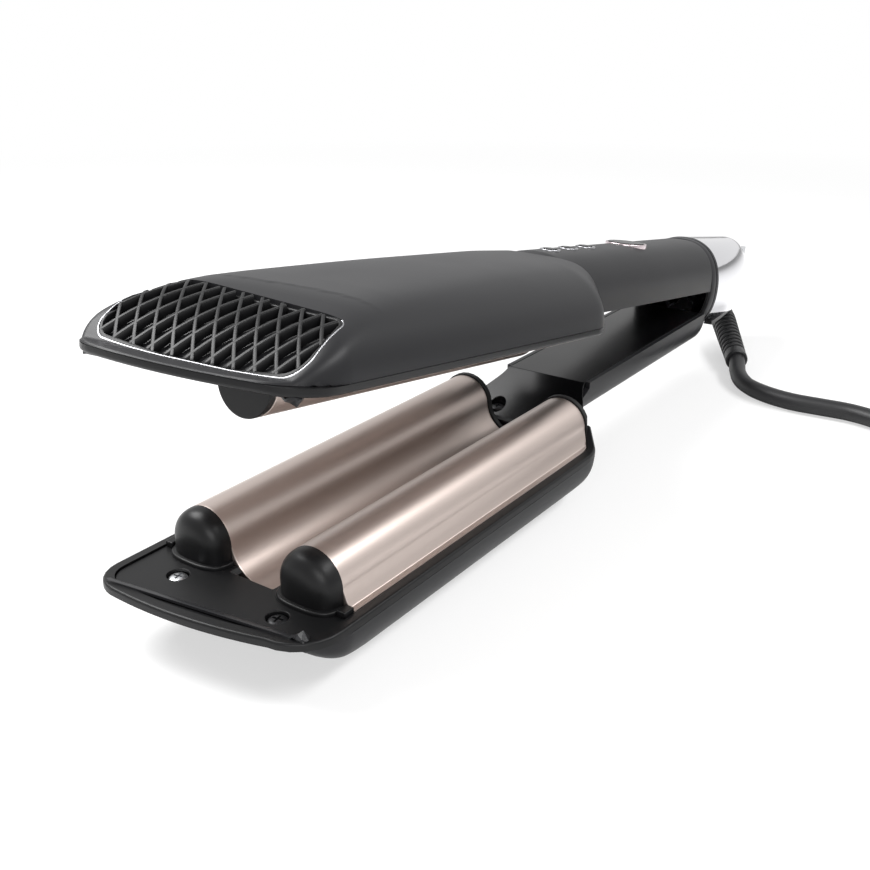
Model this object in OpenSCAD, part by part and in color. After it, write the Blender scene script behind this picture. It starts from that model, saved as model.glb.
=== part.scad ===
// Deep-wave hair waver: two hinged arms with wave-shaped heating plates.
// X runs from the tip to the cord, Y across the arms and Z up. The lower arm
// lies flat, and the origin is the middle of its flat underside.

/* [Plates] */
// Length of both wave plates along the arms
plate_l = 110; // [90:1:125]
// Distance between the two lower barrels
barrel_pitch = 33.8; // [33:0.1:34.4]
// Radius of a barrel
barrel_r = 8; // [7.6:0.1:8.2]
// Height of the lower barrels' axes over the lower rim
barrel_z = 4.1; // [3.6:0.1:4.5]
// Gap between the two plates when the arms are closed
hair_gap = 0.9; // [0.7:0.1:1.1]
// Thickness of the plate metal
plate_t = 2; // [1.4:0.1:2.2]
// Width of the flat lip along each long side of a plate
lip_w = 3.2; // [2.6:0.1:3.4]

/* [Head] */
// Half the width of the head
head_w = 31; // [30.6:0.1:33]
// Distance from the plates to the front of the head
nose_l = 23.3; // [21:0.1:27]
// How far the front edge leans back across the head
nose_slant = 0.135; // [0.1:0.005:0.16]
// How far the front edge bulges
nose_bulge = 4; // [3:0.1:5]
// Height of the upper cover over the upper rim
crown_h = 18.4; // [18:0.1:20]
// Height of the flat underside below the lower rim
base_h = 17.6; // [17:0.1:17.9]
// Height of the dark rim bands
rim_h = 3.4; // [2.8:0.1:3.6]
// Width of the rim bands
rim_w = 2.7; // [2.2:0.1:2.8]
// Wall of the covers
wall = 2; // [1.5:0.1:2.2]
// Distance between the rims when the arms are closed
rim_gap = 9.5; // [9.2:0.1:9.8]
// Height of the upper barrel's axis below the upper rim
upper_drop = 4.3; // [4:0.1:4.6]

/* [Handle] */
// Half the width of the handle
grip_w = 15; // [14:0.1:16]
// Distance from the plates' rear to the collar
grip_l = 116; // [110:1:125]
// Depth of the lower handle below the parting plane
grip_depth = 13.2; // [12:0.1:14]
// Height of the handle's parting plane over the lower rim, arms closed
parting_z = 10.3; // [10:0.1:10.7]
// Opening angle of the arms at rest
open_angle = 8.6; // [7.5:0.1:9.5]

/* [Buttons] */
// Radius of a small button
small_r = 2.2; // [1.8:0.1:2.8]
// Distance between small buttons
small_pitch = 11.5; // [10:0.5:13]
// Radius of the large button
large_r = 6; // [5:0.1:6.6]
// Width of the metal ring round a button
ring_w = 0.7; // [0.4:0.1:1]
// Travel of the buttons
button_travel = 0.8; // [0.4:0.1:1]

/* [Cord] */
// Diameter of the cord
cord_d = 6.2; // [5.8:0.1:6.4]
// Number of slot rows on the strain relief
relief_rows = 10; // [6:1:12]
// Inner radius of the stored coil's turns
coil_r = 25.8; // [25.8:0.1:27]
// Diameter of a plug pin
pin_d = 4; // [3.8:0.1:4.8]
// Length of a plug pin
pin_l = 19; // [18:0.5:19.5]

/* [Hidden] */

clearance = 0.3;
seat = 0.15;                          // gap between pieces that only rest on each other
roundness = 2.5;                      // exponent of the covers' cross-section
front_x = -plate_l / 2;
rear_x = plate_l / 2;
rim_z = base_h;                       // height of the lower rim over the table
hinge_x = rear_x + 165.7;
hinge_z = rim_z + 17.4;
hinge_r = 2.5;
collar_x = rear_x + grip_l;
collar_l = 6;
cap_x = collar_x + collar_l;
cap_end = hinge_x + 16.3;
valley_z = rim_gap - upper_drop;      // height of the lower valley's axis over the lower rim
valley_r = norm([barrel_pitch / 2, valley_z - barrel_z]) - barrel_r;
wave_a = atan2(valley_z - barrel_z, barrel_pitch / 2);
upper_barrel_r = valley_r - hair_gap;
upper_barrel_z = -upper_drop;
cap_floor = rim_z - 2.4;              // underside of the rear cap in the open position

function unit(v) = v / norm(v);
// Points of one rounded corner b between its neighbours a and c
function corner(a, b, c, r, n) = r <= 0 ? [b] :
    let (
        u = unit(a - b), v = unit(c - b), half = acos(u * v) / 2,
        o = b + unit(u + v) * r / sin(half),
        s = b + u * r / tan(half) - o, e = b + v * r / tan(half) - o,
        a0 = atan2(s.y, s.x), turn = (atan2(e.y, e.x) - a0 + 540) % 360 - 180
    )
    [for (i = [0:n]) o + r * [cos(a0 + turn * i / n), sin(a0 + turn * i / n)]];
// Polygon of corners [x, y, radius]
function rounded(p, n = 6) = [
    for (i = [0:len(p) - 1])
        let (a = p[(i + len(p) - 1) % len(p)], b = p[i], c = p[(i + 1) % len(p)])
            each corner([a.x, a.y], [b.x, b.y], [c.x, c.y], b[2], n)
];

// Extrudes a Y-Z outline along X from x0 over a length
module along_x(x0, length) translate([x0, 0, 0]) rotate([90, 0, 90]) linear_extrude(length) children();
// Extrudes an X-Z outline across Y, centred
module across_y(width) rotate([90, 0, 0]) linear_extrude(width, center = true) children();
// Turns a piece about the plates' front to follow the slanted nose
module slanted() translate([front_x, 0, 0]) rotate(atan(nose_slant)) translate([-front_x, 0, 0]) children();
// Moves a piece drawn over the closed lower rim to the opened upper arm
module opened() translate([hinge_x, 0, hinge_z]) rotate([0, open_angle, 0])
    translate([-hinge_x, 0, -hinge_z]) translate([0, 0, rim_z + rim_gap]) children();
// Moves a piece drawn over the lower rim to its place
module lower() translate([0, 0, rim_z]) children();

// ---- Plan and section of the two arms ----

function nose_x(y, inset) = front_x - nose_l + inset - nose_slant * y + nose_bulge * pow(y / head_w, 2);
taper_x = rear_x - 4;
// Plan of the head, narrowing at its rear to the handle
function head_plan(inset) =
    let (w = head_w - inset, far_r = 8.2 - inset, near_r = 11.7 - inset, y1 = w - far_r, y2 = near_r - w, grip = grip_w - inset)
    concat(
        [for (i = [0:6]) [nose_x(y1, inset) + far_r * (1 - sin(i * 15)), y1 + far_r * cos(i * 15)]],
        [for (i = [1:9]) let (y = y1 + (y2 - y1) * i / 10) [nose_x(y, inset), y]],
        [for (i = [0:6]) [nose_x(y2, inset) + near_r * (1 - cos(i * 15)), y2 - near_r * sin(i * 15)]],
        corner([0, -w], [taper_x, -w], [taper_x + 25, -grip], 14 - inset, 5),
        corner([taper_x, -w], [taper_x + 25, -grip], [taper_x + 60, -grip], 12, 4),
        corner([taper_x + 60, grip], [taper_x + 25, grip], [taper_x, w], 12, 4),
        corner([taper_x + 25, grip], [taper_x, w], [0, w], 14 - inset, 5)
    );
// Half section of a cover: a superellipse of half width w and height h above z0
function dome(w, h, z0) = [
    for (i = [0:32]) let (a = i * 180 / 32, c = cos(a), s = sin(a))
        [w * sign(c) * pow(abs(c), 2 / roundness), z0 + (h - z0) * pow(s, 2 / roundness)]
];
shoulder_x = front_x + 2;             // where the sloped front meets the top
// Side outline of the upper cover
function top_profile(inset, end) = [
    [front_x - nose_l - 8, -1], [front_x - nose_l - 8, rim_h - inset], [front_x - 23, rim_h - inset],
    [shoulder_x, 14.6 - inset], [shoulder_x + 7, 16 - inset], [rear_x - 50, crown_h - inset],
    [end, crown_h - inset], [end, -1],
];
// Height of the upper cover's top at x
function cover_top(x) = min(crown_h, 16 + (crown_h - 16) * (x - shoulder_x - 7) / (rear_x - 57 - shoulder_x));
// Solid of the upper arm's outside above z0, or of its inside when inset
module upper_body(inset, z0, end) intersection() {
    along_x(front_x - 40, end - front_x + 40) polygon(dome(head_w - inset, crown_h - inset, 0));
    slanted() across_y(4 * head_w) polygon(top_profile(inset, end + head_w));
    translate([0, 0, z0]) linear_extrude(2 * crown_h) polygon(head_plan(inset));
}
module grip_body(w, h, z0, x0, x1) along_x(x0, x1 - x0) polygon(dome(w, h, z0));

// ---- Wave plates ----

function arc(cy, cz, r, a0, a1, n = 14) = [
    for (i = [0:n]) let (a = a0 + (a1 - a0) * i / n) [cy + r * cos(a), cz + r * sin(a)]
];
lip_y = barrel_pitch / 2 + barrel_r + lip_w;
// Working face of the lower plate, from -Y to +Y, moved into the metal by t
function lower_wave(t) = concat(
    [[-lip_y, -t], [-barrel_pitch / 2 - barrel_r - 1.6 + t, -t]],
    arc(-barrel_pitch / 2, barrel_z, barrel_r - t, 180, wave_a),
    arc(0, valley_z, valley_r + t, 180 + wave_a, 360 - wave_a),
    arc(barrel_pitch / 2, barrel_z, barrel_r - t, 180 - wave_a, 0),
    [[barrel_pitch / 2 + barrel_r + 1.6 - t, -t], [lip_y, -t]]
);
upper_lip_z = -1;
upper_valley_z = barrel_z - rim_gap;
// Working face of the upper plate over the upper rim
function upper_wave(t) =
    let (r = barrel_r + hair_gap + t, a = asin((upper_lip_z + t - upper_valley_z) / r))
    concat(
        [[-lip_y, upper_lip_z + t]],
        arc(-barrel_pitch / 2, upper_valley_z, r, 180 - a, wave_a),
        arc(0, upper_barrel_z, upper_barrel_r - t, 180 + wave_a, 360 - wave_a),
        arc(barrel_pitch / 2, upper_valley_z, r, 180 - wave_a, a),
        [[lip_y, upper_lip_z + t]]
    );
function reversed(p) = [for (i = [len(p) - 1:-1:0]) p[i]];

// A wave section extruded along X and kept inside the rims
module wave(x0, length, outline) intersection() {
    along_x(x0, length) polygon(outline);
    translate([0, 0, -2 * base_h]) linear_extrude(4 * base_h) polygon(head_plan(rim_w + seat));
}
module upper_plate() color("#8f7266") opened()
    wave(front_x, plate_l, concat(upper_wave(0), reversed(upper_wave(plate_t))));
module lower_plate() color("#8f7266") lower()
    wave(front_x, plate_l, concat(lower_wave(0), reversed(lower_wave(plate_t))));

// ---- Upper arm: cover, rim and vent, drawn over the upper rim ----

arch_x = taper_x + 16;                // rear lip of the wide part of the cover
grip_end = collar_x - seat;
parting = parting_z - rim_gap;        // underside of the upper handle over the upper rim
cover_z = rim_h + seat;
board_x = rear_x + 18;
button_x = [for (i = [0:2]) rear_x + 16 + small_pitch * i];
power_x = rear_x + 69;
slope_a = atan2(14.6 - rim_h, shoulder_x - (front_x - 23));

// Puts a piece drawn flat on the sloped front, with its X up the slope
module on_slope(depth) slanted() translate([front_x - 23, 0, rim_h]) rotate([0, -slope_a, 0]) translate([0, 0, depth]) children();
slope_l = norm([14.6 - rim_h, shoulder_x - (front_x - 23)]);
vent_w = head_w - 6;
vent_x0 = 3.4;
// Outline of the vent on the slope, leaning like the nose
function vent_outline(inset) = rounded([
    [vent_x0 + 2.4 + inset, vent_w - inset, 3.5], [slope_l - 1 - inset, vent_w - inset, 2.5],
    [slope_l - 1 - inset, 1.5 - vent_w + inset, 2.5], [vent_x0 + 3.4 + inset, 1.5 - vent_w + inset, 4.5],
    [vent_x0 + inset, -9, 20], [vent_x0 + inset, 9, 20],
]);
vent_gap = 0.1;
trim_w = 1.1;
grille_t = 1.2;

module upper_cover() color("#1d1d1f") opened() difference() {
    upper_body(0, cover_z, arch_x);
    upper_body(wall, 0, arch_x + wall);
    on_slope(-2 * wall) linear_extrude(4 * wall) polygon(vent_outline(-trim_w));
}
// Upper half of the handle, with the seats of the buttons and their rings
module grip_top() color("#1d1d1f") opened() difference() {
    grip_body(grip_w, crown_h, parting, arch_x + seat, grip_end);
    grip_body(grip_w - wall, crown_h - wall, -rim_h, arch_x - wall, grip_end + wall);
    for (x = button_x) translate([x, 0, 0]) {
        translate([0, 0, crown_h - 8]) cylinder(r = small_r + clearance, h = 20, $fn = 32);
        translate([0, 0, crown_h - 1]) cylinder(r = small_r + ring_w + clearance + 0.1, h = 20, $fn = 32);
    }
    translate([power_x, 0, 0]) {
        translate([0, 0, crown_h - 8]) cylinder(r = large_r + clearance, h = 20, $fn = 48);
        translate([0, 0, crown_h - 1.4]) cylinder(r = large_r + ring_w + clearance + 0.1, h = 20, $fn = 48);
    }
}
module rim_band(z0, h, end) intersection() {
    translate([0, 0, z0]) linear_extrude(h) difference() {
        polygon(head_plan(0));
        polygon(head_plan(rim_w));
    }
    translate([front_x - 60, -2 * head_w, z0 - 1]) cube([end - front_x + 60, 4 * head_w, h + 2]);
}
// Floor inside the rim, open over the plate
module rim_floor(z0, h, end) intersection() {
    translate([0, 0, z0]) linear_extrude(h) difference() {
        polygon(head_plan(rim_w + seat));
        translate([front_x - seat, -2 * head_w]) square([plate_l + 2 * seat, 4 * head_w]);
    }
    translate([front_x - 60, -2 * head_w, z0 - 1]) cube([end - front_x + 60, 4 * head_w, h + 2]);
}
recess_r = barrel_r + 0.7;
recess_roof = 1.2;
module upper_rim() color("#141416") opened() difference() {
    union() {
        rim_band(0, rim_h, arch_x);
        intersection() {
            translate([0, 0, 0.6]) linear_extrude(rim_h - 0.6) difference() {
                polygon(head_plan(rim_w - 0.5));
                translate([front_x - seat, -2 * head_w]) square([plate_l + seat + 3, 4 * head_w]);
            }
            translate([front_x - 60, -2 * head_w, -1]) cube([arch_x - seat - front_x + 60, 4 * head_w, rim_h + 2]);
        }
        translate([front_x - cap_len - 2.6, 2.4 - lip_y, rim_h - 0.4])
            cube([cap_len + 2.6 - seat, 2 * lip_y - 4.8, recess_roof + 0.4]);
    }
    for (side = [-1, 1]) translate([front_x - cap_len - 1.2, side * barrel_pitch / 2, barrel_z - rim_gap])
        rotate([0, 90, 0]) cylinder(r = recess_r, h = cap_len + 5, $fn = 64);
    for (side = [-1, 1]) translate([screw_x + 2, side * screw_y, 0]) {
        translate([0, 0, -1]) cylinder(r = screw_r + clearance, h = 2.95, $fn = 32);
        cylinder(r = 1.25, h = 10, $fn = 24);
    }
}
// Keeps what lies above the upper rim
module over_rim() intersection() {
    children();
    translate([front_x - 60, -2 * head_w, cover_z]) cube([300, 4 * head_w, 40]);
}
// Diamond lattice of crossed bars inside an outline
module lattice(inset, columns, rows, bar) intersection() {
    polygon(vent_outline(inset));
    union() {
        cell = 2 * vent_w / columns;
        run = slope_l / rows;
        lean = atan2(run, cell);
        for (i = [-columns:2 * columns], side = [-1, 1])
            translate([0, side * (i * cell - vent_w)]) rotate(side * (90 - lean)) translate([-slope_l, -bar / 2])
                square([4 * slope_l, bar]);
        difference() {
            polygon(vent_outline(inset));
            polygon(vent_outline(inset + 0.9));
        }
    }
}
vent_columns = 12;
vent_rows = 4.5;
vent_bar = 0.75;
module upper_grille() color("#202022") opened() on_slope(-grille_t) linear_extrude(grille_t)
    lattice(vent_gap, vent_columns, vent_rows, vent_bar);
module grille_backing() color("#0c0c0d") opened() over_rim() on_slope(-grille_t - seat - 0.8) linear_extrude(0.8)
    polygon(vent_outline(0));
module grille_trim() color("#c9cacb") opened() over_rim() on_slope(-grille_t) linear_extrude(grille_t + 0.3) difference() {
    polygon(vent_outline(-trim_w + 0.05));
    polygon(vent_outline(0));
}

// ---- Upper arm: heating parts ----

barrel_in = upper_barrel_r - plate_t;
heater_w = 9;
heater_t = 3.6;
heater_z = upper_barrel_z - sqrt(pow(barrel_in, 2) - pow(heater_w / 2, 2)) + seat;
heater_inset = 8;
plate_back = barrel_z - rim_gap + barrel_r + hair_gap + plate_t;   // back of the upper plate over the upper rim
carrier_t = 2.4;
module upper_end_cap() color("#101011") opened() {
    along_x(front_x - 2.2, 2.2 - seat) difference() {
        translate([0, upper_barrel_z]) circle(r = upper_barrel_r, $fn = 64);
        translate([-20, 0.5 - seat]) square([40, 20]);
    }
    along_x(front_x, 6) difference() {
        translate([0, upper_barrel_z]) circle(r = barrel_in - seat, $fn = 48);
        translate([0, upper_barrel_z]) circle(r = barrel_in - 1.6, $fn = 48);
        translate([-20, upper_barrel_z]) square([40, 20]);
    }
}
module upper_heater() color("#c8c2b4") opened()
    translate([front_x + heater_inset, -heater_w / 2, heater_z]) cube([plate_l - 2 * heater_inset, heater_w, heater_t]);
module upper_carrier() color("#d8d2c0") opened() {
    translate([front_x + heater_inset, -3, heater_z + heater_t + seat])
        cube([plate_l - 2 * heater_inset, 6, plate_back + seat - heater_z - heater_t]);
    translate([front_x + 4, -barrel_pitch / 2 - 4, plate_back + seat]) cube([plate_l - 8, barrel_pitch + 8, carrier_t]);
    for (x = [front_x + 22, 0, rear_x - 12])
        translate([x - 2, -2, plate_back + seat]) cube([4, 4, cover_top(x - 2) - wall - clearance - plate_back - seat]);
}
module upper_thermal_fuse() color("#b9a24c") opened()
    translate([12, 8, plate_back + seat + carrier_t + 1.6]) rotate([0, 90, 0]) cylinder(r = 1.6, h = 12, $fn = 32);

// ---- Upper arm: handle ----

liner_t = 1.8;
board_z = 7.6;
module grip_liner() color("#17171a") opened() {
    translate([arch_x, -grip_w + wall + clearance, parting]) cube([grip_end - arch_x - 2, 2 * (grip_w - wall - clearance), liner_t]);
    for (x = [board_x + 6, board_x + 76], y = [-7, 7])
        translate([x, y, parting + liner_t]) cylinder(r = 2, h = board_z - parting - liner_t - seat, $fn = 24);
}
module control_board() color("#1d5a37") opened() {
    translate([board_x, -10, board_z]) cube([84, 20, 1.6]);
    for (x = concat(button_x, [power_x])) translate([x - 2.5, -2.5, board_z + 1.6]) cube([5, 5, 2.6]);
    translate([board_x + 28, -6, board_z + 1.6]) cube([9, 12, 3.4]);
    translate([board_x + 70, 3, board_z + 1.6]) cylinder(r = 3, h = 3.8, $fn = 24);
}
switch_top = board_z + 4.2;
stem_z = switch_top + button_travel + 0.1;
module button(x, r, top) color("#242427") opened() {
    translate([x, 0, crown_h - 3.6]) cylinder(r = r, h = 3.6 + top, $fn = 48);
    translate([x, 0, stem_z]) cylinder(r = r * 0.6, h = crown_h - 3.6 - stem_z, $fn = 32);
    translate([x, 0, crown_h - 5.6]) cylinder(r = r + 0.9, h = 0.9, $fn = 48);
}
button_top = 0.5;
module button_1() button(button_x[0], small_r, button_top);
module button_2() button(button_x[1], small_r, button_top);
module button_3() button(button_x[2], small_r, button_top);
module power_button() button(power_x, large_r, button_top);
module ring(x, r, z, h) translate([x, 0, z]) difference() {
    cylinder(r = r + clearance + ring_w, h = h, $fn = 64);
    translate([0, 0, -1]) cylinder(r = r + clearance, h = h + 2, $fn = 64);
}
module button_rings() color("#b9b9bb") opened() for (x = button_x) ring(x, small_r, crown_h - 1, 1.3);
module power_ring() color("#b59a8c") opened() ring(power_x, large_r, crown_h - 1.4, 1.7);

// ---- Collar and rear cap, one hollow housing round the hinge ----

collar_w = grip_w + 0.8;
collar_top = crown_h + 0.6;
cap_wall = 1.8;
// Full outline of the housing across the arms, drawn over the upper rim
function housing_section(inset) = concat(
    [for (i = [0:24]) let (a = i * 7.5) [(collar_w - inset) * sign(cos(a)) * pow(abs(cos(a)), 0.8),
        parting + (collar_top - inset - parting) * pow(sin(a), 0.8)]],
    [for (i = [1:23]) let (a = 180 + i * 7.5) [(collar_w - inset) * sign(cos(a)) * pow(abs(cos(a)), 0.8),
        parting - (grip_depth + 4 - inset) * pow(-sin(a), 0.8)]]
);
// Side outline of the housing over the upper rim
function housing_profile(inset, x0) = concat(
    [[x0, -40], [x0, collar_top - inset], [cap_x + 38, collar_top - 1 - inset]],
    [for (i = [0:9]) let (a = 80 - i * 10)
        [cap_end - 15 + (15 - inset) * cos(a), collar_top - 18 + (16 - inset) * sin(a)]],
    [[cap_end - 3 - inset, -40]]
);
tail_l = 62;                          // length of the cap's elliptical taper
function housing_plan(inset) = concat(
    [[collar_x - 20, inset - collar_w]],
    [for (i = [-9:9]) let (a = i * 10) [cap_end - tail_l + (tail_l - inset) * cos(a), (collar_w - inset) * sin(a)]],
    [[collar_x - 20, collar_w - inset]]
);
// Solid of the housing between two stations, cut flat below
module housing(inset, x0, x1, floor_z) intersection() {
    opened() intersection() {
        along_x(x0, x1 - x0) polygon(housing_section(inset));
        across_y(3 * collar_w) polygon(housing_profile(inset, x0 - 1));
        translate([0, 0, -60]) linear_extrude(120) polygon(housing_plan(inset));
    }
    translate([x0 - 60, -2 * collar_w, floor_z]) cube([x1 - x0 + 120, 4 * collar_w, 100]);
}
collar_floor = rim_z + parting_z - grip_depth;
module collar() color("#2b2b2e") difference() {
    housing(0, collar_x, cap_x - seat, collar_floor);
    housing(cap_wall + 0.4, collar_x - 1, cap_x + 1, collar_floor - 10);
}
module collar_gasket() color("#0d0d0e") intersection() {
    opened() along_x(collar_x + 2.4, 1) difference() {
        polygon(housing_section(cap_wall + 0.5));
        polygon(housing_section(cap_wall + 1.4));
    }
    translate([0, -30, rim_z - 2]) cube([400, 60, 100]);
}
module rear_cap() color("#c4c5c7") difference() {
    housing(0, cap_x, cap_end, cap_floor);
    housing(cap_wall, cap_x - 1, cap_end - cap_wall, cap_floor - 10);
}

// ---- Swivel and strain relief under the cap ----

ball_r = 4.8;
ball = [hinge_x + 5.3, 0, cap_floor - 5];
exit = [186, -22.5, 5.4];             // where the cord leaves the strain relief
relief_dir = unit(exit - ball);
plate_h = 1.6;
plate_z = cap_floor + 0.2;
neck_r = 3.6;
flange_r = 5.2;
module cap_plate() color("#0e0e0f") difference() {
    intersection() {
        housing(cap_wall + seat, cap_x + 4, cap_end - cap_wall - seat, plate_z);
        translate([cap_x, -2 * collar_w, plate_z - 1]) cube([cap_end - cap_x, 4 * collar_w, plate_h + 1]);
    }
    translate([ball.x, 0, plate_z - 1]) cylinder(r = neck_r + clearance, h = plate_h + 4, $fn = 48);
}
// Flanged neck through the cap's plate, with the seat of the swivel's ball
module swivel_socket() color("#26262a") difference() {
    union() {
        translate([ball.x, 0, plate_z + plate_h + seat]) cylinder(r = flange_r, h = 2.5, $fn = 48);
        translate([ball.x, 0, ball.z + 3.2]) cylinder(r = neck_r, h = plate_z + plate_h + 1 - ball.z - 3.2, $fn = 48);
    }
    translate(ball) sphere(r = ball_r + seat, $fn = 48);
    translate([ball.x, 0, ball.z]) cylinder(r = 2, h = 12, $fn = 32);
}
module swivel_ball() color("#151516") translate(ball) sphere(r = ball_r, $fn = 48);
// Turns a piece drawn down the Z axis to run from the ball to the cord's exit
module relief_axis() translate(ball)
    rotate([0, acos(relief_dir.z), atan2(relief_dir.y, relief_dir.x)]) children();
relief_r0 = 5;
relief_r1 = 4.2;
relief_start = ball_r - 0.8;
relief_end = norm(exit - ball);
relief_core = 3.6;
rib_pitch = (relief_end - relief_start - 9) / relief_rows;
function relief_r(z) = relief_r0 + (relief_r1 - relief_r0) * (z - relief_start) / (relief_end - relief_start);
module strain_relief() color("#121213") difference() {
    relief_axis() {
        rotate_extrude($fn = 48) polygon(concat(
            [[0, relief_start], [relief_r0, relief_start], [relief_r0, relief_start + 3]],
            [for (i = [0:relief_rows - 1]) let (z = relief_start + 4 + i * rib_pitch)
                each [[relief_r(z), z], [relief_core, z], [relief_core, z + rib_pitch * 0.4], [relief_r(z), z + rib_pitch * 0.4]]],
            [[relief_r1, relief_end], [0, relief_end]]
        ));
        for (a = [0, 90, 180, 270]) rotate(a) translate([relief_core - 0.4, -0.8, relief_start + 3])
            cube([relief_r1 - relief_core + 0.3, 1.6, relief_end - relief_start - 4]);
    }
    translate(ball) sphere(r = ball_r + 0.05, $fn = 48);
}

// ---- Hinge ----

eye_r = 6.5;
eye_w = 3;
cheek_y = 5.6;
cheek_t = 1.6;
running = 0.05;
module pin_axis(r, h) translate([hinge_x, 0, hinge_z]) rotate([90, 0, 0]) cylinder(r = r, h = h, center = true, $fn = 48);
module hinge_bracket() color("#3a3a3d") difference() {
    union() {
        for (side = [-1, 1]) translate([0, side * (cheek_y + cheek_t / 2), 0]) opened() {
            translate([hinge_x - 12, -cheek_t / 2, 3]) cube([16, cheek_t, 11.4]);
        }
        opened() translate([hinge_x - 12, -cheek_y - cheek_t, 13]) cube([7, 2 * (cheek_y + cheek_t), 1.6]);
    }
    pin_axis(hinge_r, 60);
}
module hinge_pin() color("#9a9b9e") pin_axis(hinge_r, 2 * (cheek_y + cheek_t));
module hinge_spring() color("#77787b") difference() {
    translate([hinge_x, eye_w + 0.3, hinge_z]) rotate([-90, 0, 0]) cylinder(r = 4.6, h = cheek_y - eye_w - 0.7, $fn = 48);
    pin_axis(hinge_r + running * 3, 60);
}
module wiring() color("#8f2f2a") opened() for (y = [-2.6, 0, 2.6])
    translate([rear_x - 4 + seat, y, board_z - 1.4]) rotate([0, 90, 0]) cylinder(r = 1.1, h = grip_l + 14, $fn = 16);
module screw(head_r, shaft_r, length) {
    difference() {
        translate([0, 0, -1.4]) cylinder(r = head_r, h = 1.4, $fn = 32);
        for (a = [0, 90]) rotate(a) translate([-head_r * 0.65, -0.3, -0.7]) cube([head_r * 1.3, 0.6, 1]);
    }
    translate([0, 0, -length]) cylinder(r = shaft_r, h = length - 1.4, $fn = 24);
}
screw_r = 2.3;
screw_x = front_x - 10.9;
screw_y = 15.5;
rear_screw_x = rear_x + 7.5;
rear_screw_y = 10;
module upper_screws() color("#a8a9ab") opened() for (y = [-screw_y, screw_y])
    translate([screw_x + 2, y, 0.4]) rotate([180, 0, 0]) screw(screw_r, 1.1, 4.6);

// ---- Lower arm ----

lower_floor = -base_h;
// Side outline of the lower cover, from the rim down
function base_profile(inset, end) = [
    [front_x - nose_l - 8, 0], [front_x - nose_l - 8, inset - rim_h], [front_x - 23, inset - rim_h],
    [shoulder_x, inset - 14.6], [shoulder_x + 7, lower_floor + inset], [end, lower_floor + inset], [end, 0],
];
module lower_body(inset, end) intersection() {
    along_x(front_x - 40, end - front_x + 40) mirror([0, 1]) polygon(dome(head_w - inset, crown_h - inset, 0));
    slanted() across_y(4 * head_w) polygon(base_profile(inset, end + head_w));
    translate([0, 0, -2 * crown_h]) linear_extrude(2 * crown_h) polygon(head_plan(inset));
}
module below_slope(depth) slanted() mirror([0, 0, 1]) translate([front_x - 23, 0, rim_h]) rotate([0, -slope_a, 0])
    translate([0, 0, depth]) children();
lower_screw_z = -0.6;
module lower_cover() color("#1b1b1d") lower() difference() {
    lower_body(0, arch_x);
    difference() {
        lower_body(wall, arch_x - wall);
    }
    translate([0, 0, -cover_z]) linear_extrude(cover_z + 1) polygon(head_plan(-1));
    below_slope(-2 * wall) linear_extrude(4 * wall) polygon(vent_outline(0));
}
module lower_rim() color("#141416") lower() {
    rim_band(-rim_h, rim_h, arch_x);
    intersection() {
        translate([0, 0, -rim_h]) linear_extrude(1.4) difference() {
            polygon(head_plan(rim_w - 0.5));
            polygon(head_plan(rim_w + 1.4));
            translate([front_x - seat, -2 * head_w]) square([plate_l + 2 * seat, 4 * head_w]);
        }
        translate([front_x - 60, -2 * head_w, -rim_h - 1]) cube([arch_x - front_x + 60, 4 * head_w, rim_h + 2]);
    }
}
module lower_vent() color("#202022") lower() below_slope(-grille_t) linear_extrude(grille_t)
    lattice(vent_gap, vent_columns, vent_rows, vent_bar);
panel_t = 1.3;
panel_drop = 0.5;
module front_panel() color("#1a1a1c") lower() difference() {
    intersection() {
        translate([0, 0, -panel_drop - panel_t]) linear_extrude(panel_t) difference() {
            polygon(head_plan(rim_w + seat));
            translate([front_x - seat, -2 * head_w]) square([400, 4 * head_w]);
        }
    }
    for (y = [-screw_y, screw_y]) translate([screw_x, y, -panel_drop - panel_t - 1]) cylinder(r = screw_r + clearance, h = 6, $fn = 32);
    translate([front_x - 3, 0, valley_z]) rotate([0, 90, 0]) cylinder(r = upper_barrel_r + hair_gap, h = 5, $fn = 64);
}
cap_len = 7.4;
module lower_end_caps() color("#101011") lower() intersection() {
    for (side = [-1, 1]) translate([front_x - seat, side * barrel_pitch / 2, barrel_z]) rotate([0, -90, 0]) {
        rotate_extrude($fn = 64) polygon(concat([[0, 0]],
            [for (i = [0:10]) let (a = i * 9) [(barrel_r - 0.2) * pow(cos(a), 0.75), 0.8 + (cap_len - 0.8) * pow(sin(a), 0.9)]],
            [[0, cap_len]]));
        cylinder(r = barrel_r + 0.5, h = 0.9, $fn = 64);
    }
    translate([front_x - 20, -40, -panel_drop + seat]) cube([30, 80, 40]);
}
clip_w = 2.4;
clip_y = lip_y - clip_w / 2;
module plate_clips() color("#111112") lower() for (side = [-1, 1])
    translate([front_x - 3.4, side * clip_y - clip_w / 2, -panel_drop + seat]) cube([3.2, clip_w, 1.5]);
module plate_gasket() color("#141415") lower()
    wave(rear_x + seat, 1.4, concat(lower_wave(-0.5), reversed(lower_wave(plate_t))));
lower_heater_z = barrel_z + sqrt(pow(barrel_r - plate_t, 2) - pow(heater_w / 2, 2)) - heater_t - seat;
module lower_heaters() color("#c8c2b4") lower() for (side = [-1, 1])
    translate([front_x + heater_inset, side * barrel_pitch / 2 - heater_w / 2, lower_heater_z])
        cube([plate_l - 2 * heater_inset, heater_w, heater_t]);
lower_back = valley_z - valley_r - plate_t;   // back of the lower plate over the lower rim
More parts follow.
